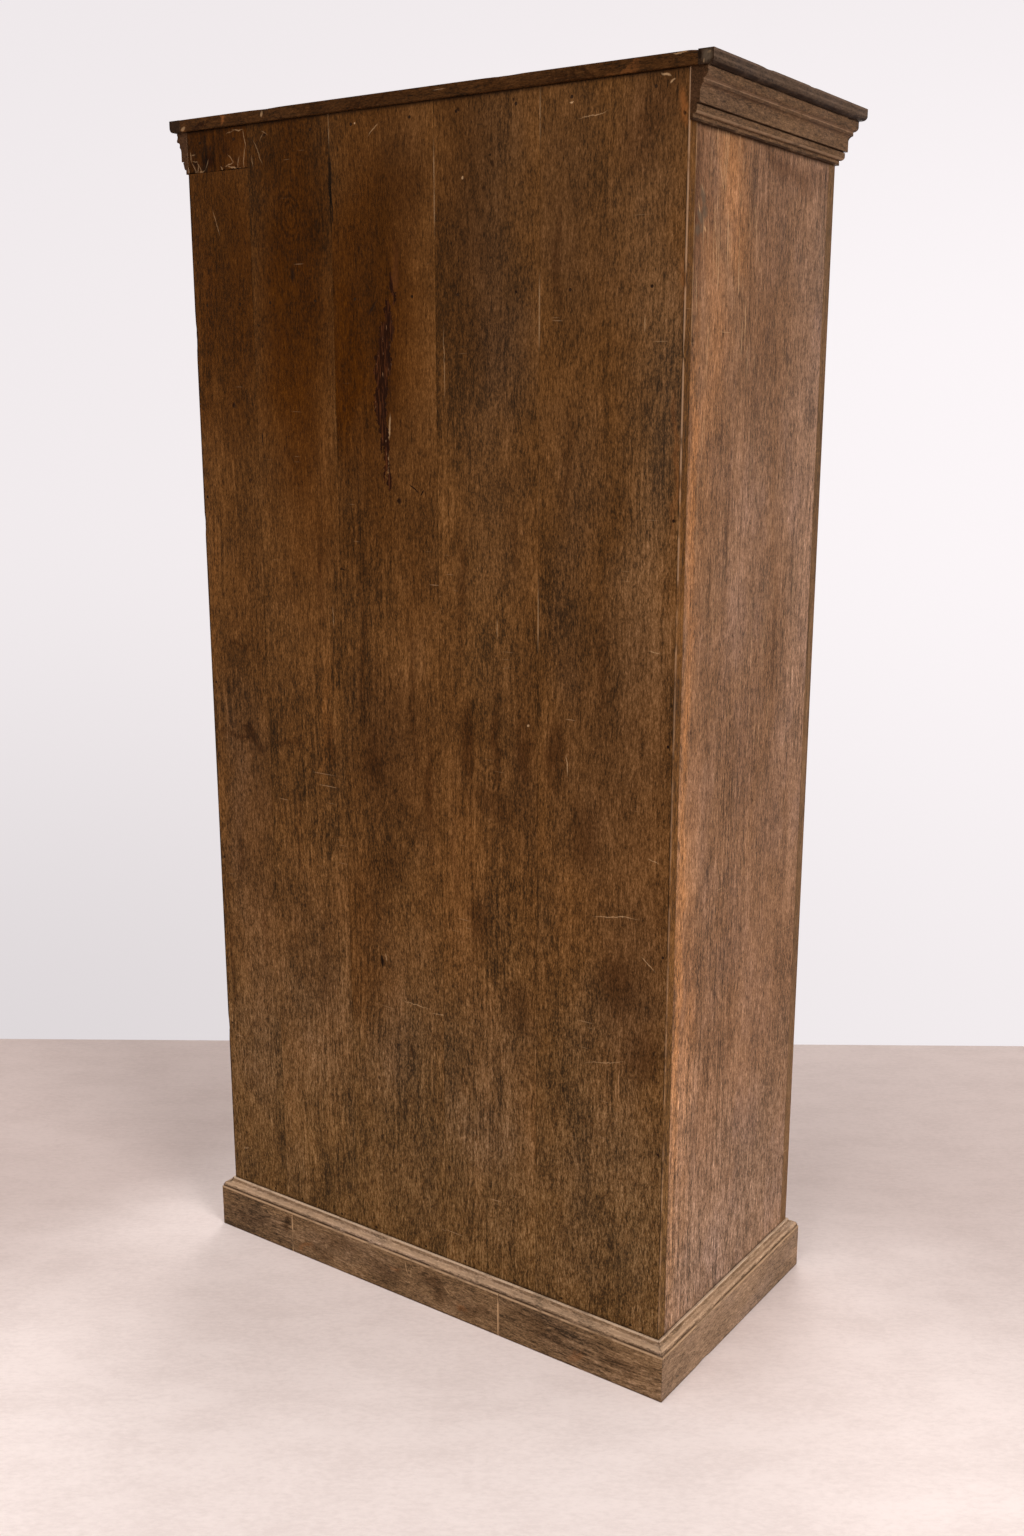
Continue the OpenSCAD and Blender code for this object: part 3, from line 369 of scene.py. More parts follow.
    def scratches(self):
        """Fine scratches at several angles, each kept only in a few patches."""
        masks = []
        for number, tilt in enumerate(SCRATCH_TILTS):
            inputs = {"Vector": self.here, "Rotation": (math.radians(tilt), math.radians(tilt), 0),
                      "Scale": (16, 16, 430), "Location": (self.seed + number, self.seed, number)}
            lines = self.noise(self.add("Mapping", inputs).outputs[0], detail=0)
            patches = self.noise(self.here, 7 + number)
            masks.append(self.times(self.between(lines, 0.77, 0.83), self.between(patches, 0.64, 0.71)))
        return self.most(*masks)

    def wear_down(self, scratches, wear):
        """Scratches, bare wood with painted highlight on worn arrises, and dirt with painted shade in the inner
        corners.
        """
        self.paint(self.times(scratches, 0.42), SCRATCH)
        # Pale bare wood on the worn arrises, partly a painted highlight
        worn = self.times(self.maths("POWER", self.attribute("wear"), 2.2),
                          self.broken(48, 0.42, 0.60, 0.15, detail=4), wear)
        self.paint(worn, BARE_AND_HIGHLIGHT)
        # Dark dirt in the inner corners, partly painted shade
        self.paint(self.times(self.attribute("dirt_and_shade"), self.between(self.patch, 0.3, 0.6, 0.6, 1.0)), DIRT_AND_SHADE)


def wood(name, middle, grain, seed, marks=None, face="xz", seams=(), figures=(), dust=None, gloss=0.0,
         contrast=1.0, lively=(1.0, 1.0), wear=0.75, weights=WEIGHTS, shade_and_grime=(), lines=(), inward=None,
         arris=None):
    """Old wood round a middle colour, with marks, seams, and lines of painted shade and highlight drawn on it at
    their places.
    """
    material = bpy.data.materials.new(name)
    tree = Wood(material, grain, seed, face)
    tone = tree.tone(contrast, lively, weights, figures)
    tree.colour = tree.ramp(tone, shades(middle))
    tree.age(dust, shade_and_grime)
    tree.draw_shade_and_highlight(lines)
    dents = tree.draw_marks(marks or {})
    tree.draw_seams(seams)
    if inward:
        tree.draw_inside(tone, inward)
    if arris:
        tree.draw_arris(*arris)
    scratches = tree.scratches()
    tree.wear_down(scratches, wear)
    height = tree.plus(tree.times(tree.fine, 0.5), tree.times(tree.streak, 0.3), tree.times(tree.pores, -0.3),
                       tree.times(scratches, -0.2))
    height = tree.maths("SUBTRACT", height, dents)
    roughness = tree.between(tree.plus(tree.fine, tree.patch), 0.7, 1.3, 0.52 - gloss, 0.76 - gloss)
    tree.surface(tree.colour, roughness, height, 0.6, specular_ior_level=SHEEN + gloss, specular_tint=SHEEN_TINT)
    return material


# Metal

def metal(name, clean, tarnish, roughness, metallic=1.0, specular=0.5):
    """Metal with a cloud and specks of rougher tarnish."""
    material = bpy.data.materials.new(name)
    tree = Tree(material)
    here = tree.coordinates("Object")
    cloud = tree.noise(here, 90, detail=5, roughness=0.65)
    specks = tree.between(tree.noise(here, 700), 0.6, 0.72)
    amount = tree.most(tree.between(cloud, 0.42, 0.66), tree.times(specks, 0.6))
    colour = tree.mix(amount, rgb(*clean), rgb(*tarnish))
    rough = tree.between(amount, 0.0, 1.0, roughness, roughness + 0.25)
    tree.surface(colour, rough, tree.maths("SUBTRACT", cloud, specks), 0.2, metallic=metallic,
                 specular_ior_level=specular)
    return material


brass = metal("aged_brass", (176, 142, 82), (98, 72, 42), 0.34)
iron = metal("old_iron", (74, 62, 54), (56, 37, 25), 0.5)
rust = metal("rusted_iron", (46, 30, 18), (30, 17, 8), 0.75, metallic=0.0, specular=0.05)


# Marks, seams, and lines of painted shade and highlight on the wood

# Kinds of mark: colour, or linear factors where it multiplies; where the ellipse starts and is full; its space
KINDS = {
    "gold": ((0.42, 0.28, 0.05), "MULTIPLY", 1.5, 0.3, "far"),
    "haze": ((1.45, 1.62, 1.95), "MULTIPLY", 1.5, 0.1, "far"),
    "grey": ((1.22, 1.42, 2.10), "MULTIPLY", 1.5, 0.1, "far"),
    "dusk": ((0.42, 0.34, 0.28), "MULTIPLY", 1.5, 0.1, "far"),
    "umber": ((0.66, 0.72, 0.98), "MULTIPLY", 1.5, 0.2, "far"),
    "tan": ((1.85, 1.55, 1.10), "MULTIPLY", 1.6, 0.0, "far"),
    "stain": ((0.22, 0.13, 0.06), "MULTIPLY", 1.35, 0.2, "mid"),
    "glow": ((1.60, 1.38, 1.02), "MULTIPLY", 1.4, 0.2, "mid"),
    "warm": ((140, 84, 42), "MIX", 1.3, 0.2, "mid"),
    "hairs": ((196, 158, 118), "MIX", 1.4, 0.3, "far"),
    "pale": ((184, 146, 106), "MIX", 1.15, 0.5, "near"),
    "scuff": ((88, 74, 60), "MIX", 1.3, 0.4, "near"),
    "scar": ((30, 11, 4), "MIX", 1.5, 0.3, "torn"),
    "knot": ((30, 15, 6), "MIX", 1.2, 0.4, "near"),
    "crack": ((20, 11, 5), "MIX", 1.15, 0.5, "near"),
}
DENTED = ("scar", "crack", "knot")

# Marks in mm: across the face, height, half width, half height, and strength and tilt where not 1 and 0
BACK_MARKS = {
    1: {"umber": [(390, 880, 80, 260, 0.5)],
        "gold": [(405, 1800, 115, 320, 0.85), (400, 1380, 60, 260, 0.3)],
        "grey": [(430, 1880, 40, 70, 0.4), (380, 480, 90, 230, 0.45), (440, 900, 30, 200, 0.3)],
        "stain": [(412, 1005, 75, 12, 0.6, -6), (410, 1168, 48, 6, 0.5, 2), (360, 1120, 4, 90, 0.4),
        (430, 760, 9, 60, 0.4), (466, 560, 7, 130, 0.45), (372, 640, 6, 80, 0.4)],
        "tan": [(462, 1700, 16, 190, 0.22), (465, 1280, 10, 120, 0.2)],
        "knot": [(402, 1584, 4, 5), (369, 1458, 3, 4, 0.7), (452, 1388, 3, 9, 0.7, 8), (386, 1690, 3, 5, 0.5)],
        "crack": [(383, 912, 1.2, 16, 0.7, 3), (471, 431, 1.6, 26, 0.8, -4)],
        "pale": [(424, 1884, 1, 24, 0.35, 20), (393, 333, 1, 14, 0.5, -8), (452, 171, 8, 2, 0.5, 8)]},
    2: {"gold": [(250, 1760, 120, 420, 0.95), (260, 640, 80, 130, 0.3)],
        "grey": [(260, 520, 120, 260, 0.4)],
        "stain": [(300, 1003, 45, 10, 0.5, 5), (210, 1300, 7, 110, 0.4), (282, 850, 5, 120, 0.4),
        (196, 1010, 14, 50, 0.4), (230, 600, 10, 90, 0.35)],
        "tan": [(215, 1090, 14, 90, 0.22)],
        "knot": [(254, 1793, 5, 13, 1, 4), (284, 1510, 2.5, 4, 0.6), (190, 760, 4, 6, 0.6)],
        "crack": [(167.5, 1914, 2, 62), (336, 1532, 1.6, 11, 1, -8), (241, 377, 1.2, 14, 0.6, 4),
        (205, 1400, 1, 40, 0.4, 1)],
        "pale": [(322, 1988, 1, 24, 0.3, 26), (311, 2008, 1.1, 8, 0.22, -40), (304, 2014, 8, 1, 0.22, -20),
        (334, 1974, 1, 9, 0.28, 10), (186, 1236, 1, 20, 0.4)]},
    3: {"umber": [(40, 1880, 60, 120, 0.4), (60, 1020, 90, 150, 0.4)],
        "gold": [(90, 1730, 130, 360, 0.9), (125, 1640, 70, 200), (10, 1450, 60, 200, 0.35),
        (60, 1010, 120, 150, 0.3), (130, 660, 80, 160, 0.45)],
        "grey": [(60, 470, 110, 220, 0.4)],
        "stain": [(34, 1800, 6, 60, 0.6, 2), (62, 1640, 26, 140, 0.35, 8), (100, 1000, 30, 60, 0.5),
        (10, 1120, 8, 150, 0.4), (120, 1180, 10, 190, 0.4), (60, 820, 40, 50, 0.35), (28, 483, 4, 18, 0.8),
        (-20, 960, 10, 90, 0.5)],
        "scar": [(42, 1768, 4, 30, 0.8, 4), (50, 1720, 7, 34, 1, 6), (60, 1676, 12, 40, 1, 8),
        (68, 1632, 14, 40, 1, 4), (74, 1592, 10, 38), (66, 1556, 8, 40, 1, -4), (60, 1512, 5, 44, 0.9, -6),
        (55, 1466, 4, 26, 0.8)],
        "knot": [(36, 1435, 5, 5), (84, 1736, 3, 16, 0.9, -32), (93, 636, 5, 12, 1, 8), (105, 411, 4, 5, 0.8),
        (148, 1580, 3, 4, 0.6)],
        "crack": [(164.5, 1912, 2, 66), (4, 1457, 13, 1.6, 1, -28), (-13, 1453, 6, 1.4, 1, 50),
        (165, 1317, 15, 1.6, 0.9, 4), (93, 636, 2, 15), (122, 1450, 1, 60, 0.4)],
        "pale": [(52, 1552, 2.4, 22, 0.6, -4), (57, 1500, 1.2, 30, 0.5, -3), (76, 2000, 1, 15, 0.45, -48),
        (111, 2012, 2, 2, 0.9), (19, 571, 34, 1, 0.5, -4), (-42, 567, 28, 1, 0.5, 12), (83, 645, 1, 9, 0.6, 12),
        (70, 1640, 6, 1, 0.3, 5)],
        "warm": [(36, 1790, 8, 40, 0.25)]},
    4: {"haze": [(-140, 1150, 60, 250, 0.45)],
        "gold": [(90, 1730, 130, 360, 0.9), (-90, 1850, 70, 260, 0.4), (-140, 1030, 120, 130, 0.2)],
        "umber": [(-150, 1860, 90, 200, 0.7), (-190, 1050, 70, 190, 0.2)],
        "grey": [(-150, 1600, 80, 260, 0.35), (-140, 430, 110, 220, 0.4)],
        "stain": [(-100, 1050, 16, 75, 0.6), (-160, 1065, 12, 90, 0.6), (-215, 1040, 22, 60, 0.6),
        (-150, 960, 60, 40, 0.4), (-90, 1300, 12, 120, 0.45), (-190, 1390, 10, 90, 0.35), (-120, 760, 30, 60, 0.45),
        (-200, 620, 36, 44, 0.45), (-75, 840, 9, 90, 0.4)],
        "knot": [(-153, 1934, 4, 6, 0.8, 10), (-136, 1900, 4, 5, 0.8), (-124, 1560, 2.5, 4, 0.6), (-91, 2013, 2.5, 3),
        (-191, 2014, 2.5, 3)],
        "crack": [(-150, 1946, 2, 2, 0.9), (-70, 1620, 1, 50, 0.35)],
        "pale": [(-99, 1917, 2, 2, 0.9), (-220, 1096, 3, 3, 0.8), (-60, 1650, 1, 60, 0.35),
        (-160, 1245, 1, 18, 0.4)]},
    5: {"haze": [(-440, 1500, 55, 380, 0.55), (-440, 300, 60, 200, 0.3)],
        "grey": [(-440, 1650, 70, 480, 0.5), (-300, 1350, 50, 260, 0.3), (-380, 400, 110, 220, 0.3)],
        "umber": [(-400, 1060, 120, 300, 0.5), (-420, 760, 90, 160, 0.6), (-300, 1860, 70, 160, 0.6)],
        "dusk": [(-450, 1975, 60, 45, 0.6)],
        "stain": [(-275, 1050, 24, 60, 0.6), (-268, 1790, 9, 80, 0.5), (-330, 940, 30, 60, 0.45),
        (-395, 700, 44, 60, 0.5), (-440, 590, 40, 44, 0.5), (-290, 1500, 10, 90, 0.35), (-360, 1200, 12, 90, 0.35)],
        "knot": [(-477, 1972, 3, 3), (-345, 1150, 3, 4, 0.6), (-412, 1330, 2.5, 3, 0.6)],
        "warm": [(-474, 1972, 9, 18, 0.65), (-478, 1760, 5, 60, 0.3), (-476, 1500, 6, 120, 0.3)],
        "crack": [(-448, 1860, 1, 40, 0.4), (-462, 1100, 1, 60, 0.4)],
        "pale": [(-295, 1042, 1, 18, 0.7, 3), (-388, 810, 46, 0.9, 0.6, 7), (-449, 1235, 12, 0.9, 0.7, -8),
        (-455, 915, 11, 0.9, 0.6, -12), (-450, 745, 18, 0.9, 0.7, -40), (-370, 563, 42, 0.9, 0.45, 14),
        (-293, 2004, 4, 1.6, 0.9, 20), (-446, 2024, 9, 2, 0.8, -24), (-456, 2014, 5, 2, 0.7, 30),
        (-330, 1985, 26, 0.8, 0.5, 8), (-420, 1700, 0.9, 14, 0.5, 4)]},
}
# Ovals in the grain: the middle, half sizes and number of rings
FIGURES = {2: [(254, 1885, 42, 60, 5)], 4: [(-150, 1000, 24, 40, 3)]}
PATCH_MARKS = {
    "gold": [(400, 2000, 150, 80, 0.9)],
    "stain": [(438, 1990, 16, 18, 0.9), (396, 1998, 5, 12, 0.5), (470, 1984, 8, 8, 0.6)],
    "knot": [(431, 2001, 4, 4, 0.8)],
    "pale": [(470, 1972, 1.2, 12, 0.5, 24), (462, 1969, 1, 9, 0.45, -18), (476, 1966, 5, 1.2, 0.7, 10),
        (458, 1974, 1, 9, 0.35, 40), (468, 1984, 8, 1, 0.3, -20), (478, 1992, 1, 9, 0.4, 6),
        (452, 1968, 7, 1, 0.4, 12), (440, 1976, 1, 10, 0.25, -30), (407, 1966, 1.2, 5, 0.6, 20),
        (376, 1968, 18, 1.1, 0.55, -6), (388, 1972, 11, 1, 0.4, 14), (366, 1976, 1, 10, 0.35, -24),
        (352, 1982, 1, 18, 0.4, -8), (384, 1980, 10, 1, 0.35, -40), (472, 1994, 6, 1, 0.3),
        (366, 2024, 14, 1.1, 0.4, -4), (384, 2020, 10, 1, 0.25, 22), (350, 2008, 1, 16, 0.35, 12)],
}
TOP_MARKS = {
    "gold": [(0, 2041, 400, 20, 0.3)],
    "stain": [(447, 2044, 24, 4, 0.9), (250, 2036, 60, 4, 0.7), (60, 2038, 90, 5, 0.5), (-300, 2038, 70, 5, 0.6),
        (-460, 2046, 20, 6, 0.5)],
    "warm": [(396, 2041, 7, 6, 0.6), (480, 2036, 8, 5, 0.5), (-380, 2042, 30, 4, 0.3)],
    "pale": [(306, 2044, 3, 6, 0.5), (-470, 2049, 14, 1, 0.6), (488, 2035, 6, 3, 0.5, 10)],
}
PLINTH_MARKS = {
    "stain": [(430, 34, 60, 22, 0.35), (200, 50, 70, 20, 0.45), (240, 20, 40, 14, 0.4), (90, 34, 50, 26, 0.35),
        (-30, 48, 40, 20, 0.5), (-120, 26, 40, 20, 0.4), (-260, 46, 60, 24, 0.35), (-420, 40, 50, 24, 0.35),
        (330, 60, 12, 14, 0.6)],
    "warm": [(280, 20, 20, 8, 0.3), (60, 60, 16, 8, 0.3), (-90, 30, 12, 9, 0.35), (-330, 22, 24, 9, 0.25)],
    "pale": [(390, 70, 12, 1.2, 0.6, 14), (376, 64, 10, 1.1, 0.5, -26), (362, 68, 1.2, 8, 0.5, 30),
        (34, 62, 1.3, 14, 0.6, 8), (24, 56, 1.1, 11, 0.55, -14), (40, 48, 8, 1.1, 0.4, -20),
        (-60, 48, 10, 1.2, 0.5, -34), (-66, 40, 8, 1.1, 0.4, 24), (230, 40, 1.1, 12, 0.3, 10),
        (-280, 56, 12, 1, 0.35, 10), (-400, 30, 10, 1, 0.35, -16)],
    "knot": [(150, 40, 3, 3, 0.6), (-220, 60, 3, 3, 0.5)],
}
EDGING_MARKS = {
    "scuff": [(-511, 2041, 9, 10, 0.75)],
    "pale": [(-490, 2040, 1.8, 8, 0.9, 6), (-514, 2045, 4, 2, 0.4, 20), (-506, 2035, 1.4, 4, 0.45)],
    "crack": [(-499, 2042, 3.6, 5, 0.9, 8)],
}
SIDE_MARKS = {
    "tan": [(92, 1890, 44, 80, 0.55), (176, 1650, 36, 260, 0.36), (190, 1280, 24, 300, 0.26),
        (165, 880, 26, 260, 0.2), (100, 1900, 40, 50, 0.22), (196, 450, 30, 300, 0.22)],
    "haze": [(-190, 1480, 110, 600), (60, 250, 200, 220, 0.25), (20, 1400, 80, 260, 0.45), (190, 520, 50, 150, 0.6)],
    # The dusk bands at 1964 and 1966 mm are painted shade under the cornice
    "dusk": [(200, 1880, 50, 110, 0.6), (20, 1760, 60, 150, 0.22), (190, 1966, 80, 24, 0.5),
        (-60, 1964, 180, 20, 0.5), (40, 1600, 40, 150, 0.25), (40, 1800, 30, 80, 0.22), (20, 1040, 60, 100, 0.12),
        (100, 480, 60, 140, 0.12)],
    "glow": [(214, 760, 15, 640, 0.8), (212, 1520, 15, 220, 0.7), (172, 560, 26, 200, 0.25)],
    "hairs": [(110, 1800, 90, 190, 0.75), (200, 1400, 40, 500, 0.3), (0, 1300, 200, 500, 0.18)],
    "scuff": [(204, 1872, 7, 16, 0.75, 24), (198, 1852, 9, 12, 0.8, -10), (210, 1842, 7, 14, 0.8, 40),
        (217, 1826, 8, 9, 0.75, 10), (206, 1828, 5, 8, 0.6, -30), (-192, 1840, 6, 60, 0.35)],
    "stain": [(100, 1400, 5, 150, 0.35), (-80, 1200, 8, 200, 0.25), (140, 1100, 6, 160, 0.3), (30, 620, 8, 160, 0.25),
        (190, 700, 6, 160, 0.25), (-150, 900, 8, 200, 0.2), (212, 1770, 8, 120, 0.35), (230, 1840, 17, 120, 0.75),
        (226, 1600, 12, 90, 0.4)],
    "knot": [(224, 1677, 3, 9, 0.9), (132, 1691, 2.5, 7, 0.9), (218, 1655, 2.5, 6, 0.7), (70, 1240, 3, 4, 0.7),
        (-20, 960, 3, 4, 0.7), (196, 1110, 3, 5, 0.7)],
    "crack": [(112, 208, 1.6, 20, 0.9, 2), (-107, 1883, 9, 1, 0.8, 12), (92, 1560, 1, 60, 0.4),
        (150, 1300, 1, 50, 0.4)],
    "pale": [(63, 1716, 1, 34, 0.8, -2), (212, 1850, 1.4, 16, 0.9, 10), (196, 1828, 5, 2, 0.8, -50),
        (205, 1880, 2, 10, 0.7, 30), (166, 1840, 1, 22, 0.7, 10), (150, 1905, 1, 24, 0.7, 16),
        (96, 1890, 1, 30, 0.5, 14), (120, 1815, 1, 26, 0.5, 4), (216, 1740, 1.2, 30, 0.6, 4),
        (40, 1850, 1, 30, 0.5, 10), (180, 1560, 1, 26, 0.4), (-90, 1640, 1, 26, 0.3)],
}

# Seams: place across, lowest and highest point, colour and strength. Both boards show their joint
PALE, DARK, FILLED = (176, 138, 100), (20, 12, 7), (188, 150, 112)
JOINT_2_3 = [(166, 1850, 1975, DARK, 1.0), (166, 1990, 2031, PALE, 0.6)]
JOINT_3_4 = [(-44, 1850, 1965, PALE, 0.6)]
JOINT_4_5 = [(-239, 1680, 1760, PALE, 0.9), (-239, 1230, 1315, PALE, 0.8), (-239, 1960, 2020, PALE, 0.6)]
BACK_SEAMS = {
    1: [(345, 1700, 1960, DARK, 0.55), (482.6, 100, 1962, DARK, 0.9)],
    2: [(345, 1700, 2025, DARK, 0.4), *JOINT_2_3],
    3: [*JOINT_2_3, *JOINT_3_4],
    4: [*JOINT_3_4, *JOINT_4_5],
    5: [*JOINT_4_5, (-239, 1400, 1600, PALE, 0.3), (-482.6, 100, 1962, DARK, 0.8)],
}
PLINTH_SEAMS = [(at, 2, 76, FILLED, 1.0) for at in (316.6, 315.4, -172.4, -173.6)]
SIDE_SEAMS = [(151, 300, 1900, DARK, 0.3), (54, 500, 1963, DARK, 0.4), (-72, 300, 1963, DARK, 0.3)]
LEFT_SEAMS = [*SIDE_SEAMS, (226, 1680, 1963, PALE, 0.6), (208, 110, 1700, DARK, 0.4)]

# Lines along the mouldings, by height: painted shade, dark in the quirks and below the parts that stand out, and
# painted highlight, pale on the arrises
CORNICE_SHADE_AND_HIGHLIGHT = [(1965.2, 1.6, (34, 18, 9), 0.9), (1973.5, 1.5, (160, 128, 100), 0.5),
                 (1983.9, 1.2, (44, 26, 14), 0.7), (2009.5, 2.6, (62, 40, 26), 0.5),
                 (2014.2, 1.3, (156, 124, 98), 0.55), (2030.6, 1.3, (26, 13, 6), 0.95)]
EDGING_SHADE_AND_HIGHLIGHT = [(2032.6, 1.6, (28, 15, 8), 0.85), (2040.0, 1.4, (120, 96, 78), 0.3),
                (2048.4, 1.6, (124, 100, 84), 0.35)]
MOULDING_SHADE_AND_HIGHLIGHT = [(98.6, 1.1, (206, 176, 148), 0.9), (94.6, 1.7, (96, 70, 48), 0.6),
                  (90.2, 1.8, (186, 152, 122), 0.6), (84.0, 2.0, (50, 32, 18), 0.85)]
FASCIA_SHADE_AND_HIGHLIGHT = [(81.0, 1.7, (176, 142, 110), 0.85), (0.8, 2.0, (48, 32, 19), 0.7)]

# The middle colour of each wood
BACK, PATCH, SIDE, TOP, INSIDE = (90, 57, 26), (82, 51, 24), (121, 87, 62), (60, 35, 14), (152, 120, 88)
CORNICE, EDGING, FASCIA, FASCIA_SIDE = (94, 69, 48), (72, 56, 44), (104, 78, 53), (124, 98, 76)
MOULDING, DOOR, FRAME = (146, 117, 91), (106, 73, 46), (104, 76, 51)

# Dust, and painted shade with some grime under the top board or cornice and over the plinth: the heights where all
# and none of it lies, the dust's factors, and the strength
BACK_DUST = (150, 1000, (1.18, 1.50, 1.95), 0.8)
SIDE_DUST = (60, 620, (1.24, 1.46, 1.74), 0.8)
BACK_SHADE_AND_GRIME = [(2032, 2024, 0.9), (98, 106, 0.7)]
SIDE_SHADE_AND_GRIME = [(1965, 1956, 0.8), (98, 106, 0.7)]
# The liveliness of the fine grain low down and high up
BACK_LIFE, SIDE_LIFE = (0.90, 0.66), (1.15, 0.95)
BACK_WEIGHTS, SIDE_WEIGHTS = (1.85, 1.8, 1.15), (1.6, 1.4, 0.95)
TO_FRONT, TO_RIGHT, TO_LEFT = (0, -1, 0), (1, 0, 0), (-1, 0, 0)
OUTER_ARRIS = (-485, 246)


# The look of each node

def both_ways(name, middle, seeds, **settings):
    """The same wood with its grain across the width, and from front to back."""
    return [wood(f"{name}_{way}", middle, grain, seed, **settings)
            for way, grain, seed in zip(("long", "deep"), (X, Y), seeds)]


looks = {"back_nails": rust}
for number, marks in BACK_MARKS.items():
    looks[f"back_board_{number}"] = wood(
        f"back_wood_{number}", BACK, Z, 3.1 * number, marks, dust=BACK_DUST, lively=BACK_LIFE,
        weights=BACK_WEIGHTS, shade_and_grime=BACK_SHADE_AND_GRIME, seams=BACK_SEAMS[number], figures=FIGURES.get(number, ()),
        inward=TO_FRONT, arris=OUTER_ARRIS if number == 5 else None)
looks["back_corner_patch"] = wood("back_wood_patch", PATCH, Z, 41.0, PATCH_MARKS, lively=BACK_LIFE,
                                  shade_and_grime=BACK_SHADE_AND_GRIME, inward=TO_FRONT)
side = {"face": "yz", "dust": SIDE_DUST, "contrast": 0.7, "lively": SIDE_LIFE, "weights": SIDE_WEIGHTS,
        "shade_and_grime": SIDE_SHADE_AND_GRIME}
looks["left_side"] = wood("side_wood_left", SIDE, Z, 52.0, SIDE_MARKS, seams=LEFT_SEAMS, inward=TO_RIGHT, **side)
looks["right_side"] = wood("side_wood_right", SIDE, Z, 57.0, seams=SIDE_SEAMS, inward=TO_LEFT, **side)
for number in (1, 2, 3):
    looks[f"plinth_back_{number}"] = wood(f"trim_wood_plinth_back_{number}", FASCIA, X, 58.0 + number,
                                          PLINTH_MARKS, contrast=0.75, lines=FASCIA_SHADE_AND_HIGHLIGHT, seams=PLINTH_SEAMS)
looks["plinth_mouldings"] = wood("trim_wood_moulding", MOULDING, X, 68.0, contrast=0.6, wear=0.9,
                                 lines=MOULDING_SHADE_AND_HIGHLIGHT)
looks["top_edging_left"] = wood("trim_wood_edging_left", EDGING, Y, 69.0, EDGING_MARKS, contrast=0.55,
                                lines=EDGING_SHADE_AND_HIGHLIGHT)
looks["top_board"] = wood("top_wood", TOP, X, 63.0, TOP_MARKS, contrast=0.8)
looks["frame_upright_left"] = looks["frame_upright_right"] = wood("door_wood_frame_upright", FRAME, Z, 91.0,
                                                                  contrast=0.5)
looks["frame_top_rail"] = wood("door_wood_frame_rail", FRAME, X, 93.0, contrast=0.5)

# The other trims, by a word in their names
trims = {
    "cornice": both_ways("trim_wood_cornice", CORNICE, (61.0, 66.0), contrast=0.6, lines=CORNICE_SHADE_AND_HIGHLIGHT),
    "edging": both_ways("trim_wood_edging", EDGING, (64.0, 65.0), contrast=0.55, lines=EDGING_SHADE_AND_HIGHLIGHT),
    "plinth": [wood("trim_wood_fascia_long", FASCIA, X, 62.0, contrast=0.5, lines=FASCIA_SHADE_AND_HIGHLIGHT),
               wood("trim_wood_fascia_deep", FASCIA_SIDE, Y, 67.0, contrast=0.55, lines=FASCIA_SHADE_AND_HIGHLIGHT)],
}
inside = both_ways("inside_wood", INSIDE, (81.0, 86.0), contrast=0.35, wear=0.3)
door_upright = wood("door_wood_upright", DOOR, Z, 71.0, gloss=0.12, contrast=0.5)
door_across = wood("door_wood_across", DOOR, X, 76.0, gloss=0.12, contrast=0.5)
for name in nodes:
    if name in looks:
        continue
    low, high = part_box(name)
    deep = (high - low).y > (high - low).x
    slot = slot_of[name]
    if slot == "trim_wood":
        looks[name] = next(pair for word, pair in trims.items() if word in name)[deep]
    elif slot == "door_wood":
        looks[name] = door_across if "rail" in name else door_upright
    elif slot == "inside_wood":
        looks[name] = inside[deep]
    else:
        looks[name] = brass if slot == "brass" else iron


# Pieces with worn arrises, each in the place of a wooden node

WELD = 1e-6
# The rounding of open arrises, and of those on a closed joint
ROUND_OFF, CLOSE_OFF = 1.1 * MM, 0.3 * MM
MARGIN = 4 * MM
# The distance between cuts along a piece, and the depth of its arrises' dents, in mm
WORN = {"back_wood": (20, 1.0), "case_wood": (20, 1.0), "trim_wood": (16, 1.1), "door_wood": (60, 0.5),
        "inside_wood": (90, 0.5)}
SHORTEST = 9 * MM
FLAT_ANGLE, STRIP_ANGLE, SHARP_ANGLE, SMOOTH_ANGLE = (math.radians(angle) for angle in (0.4, 17, 38, 50))
BOARD_SEAMS = [at * MM for at in (345, 166, -44, -239)]
PATCH_FOOT = 1964 * MM
SEAM_REACH = 1.5 * MM
CASE_HALF, CASE_BACK, CASE_FRONT = 485 * MM, 246 * MM, -229 * MM
CLOSED_SHARE = 0.25
LEVEL = 0.7


def cut(bm, place, axis, faces=None):
    """Slices the mesh, or some of its faces, with a plane across an axis."""
    across = Vector((0, 0, 0))
    across[axis] = 1
    if faces is None:
        geometry = bm.verts[:] + bm.edges[:] + bm.faces[:]
    else:
        geometry = list({part for face in faces for part in (face, *face.edges, *face.verts)})
    bmesh.ops.bisect_plane(bm, geom=geometry, dist=WELD, plane_co=across * place, plane_no=across)


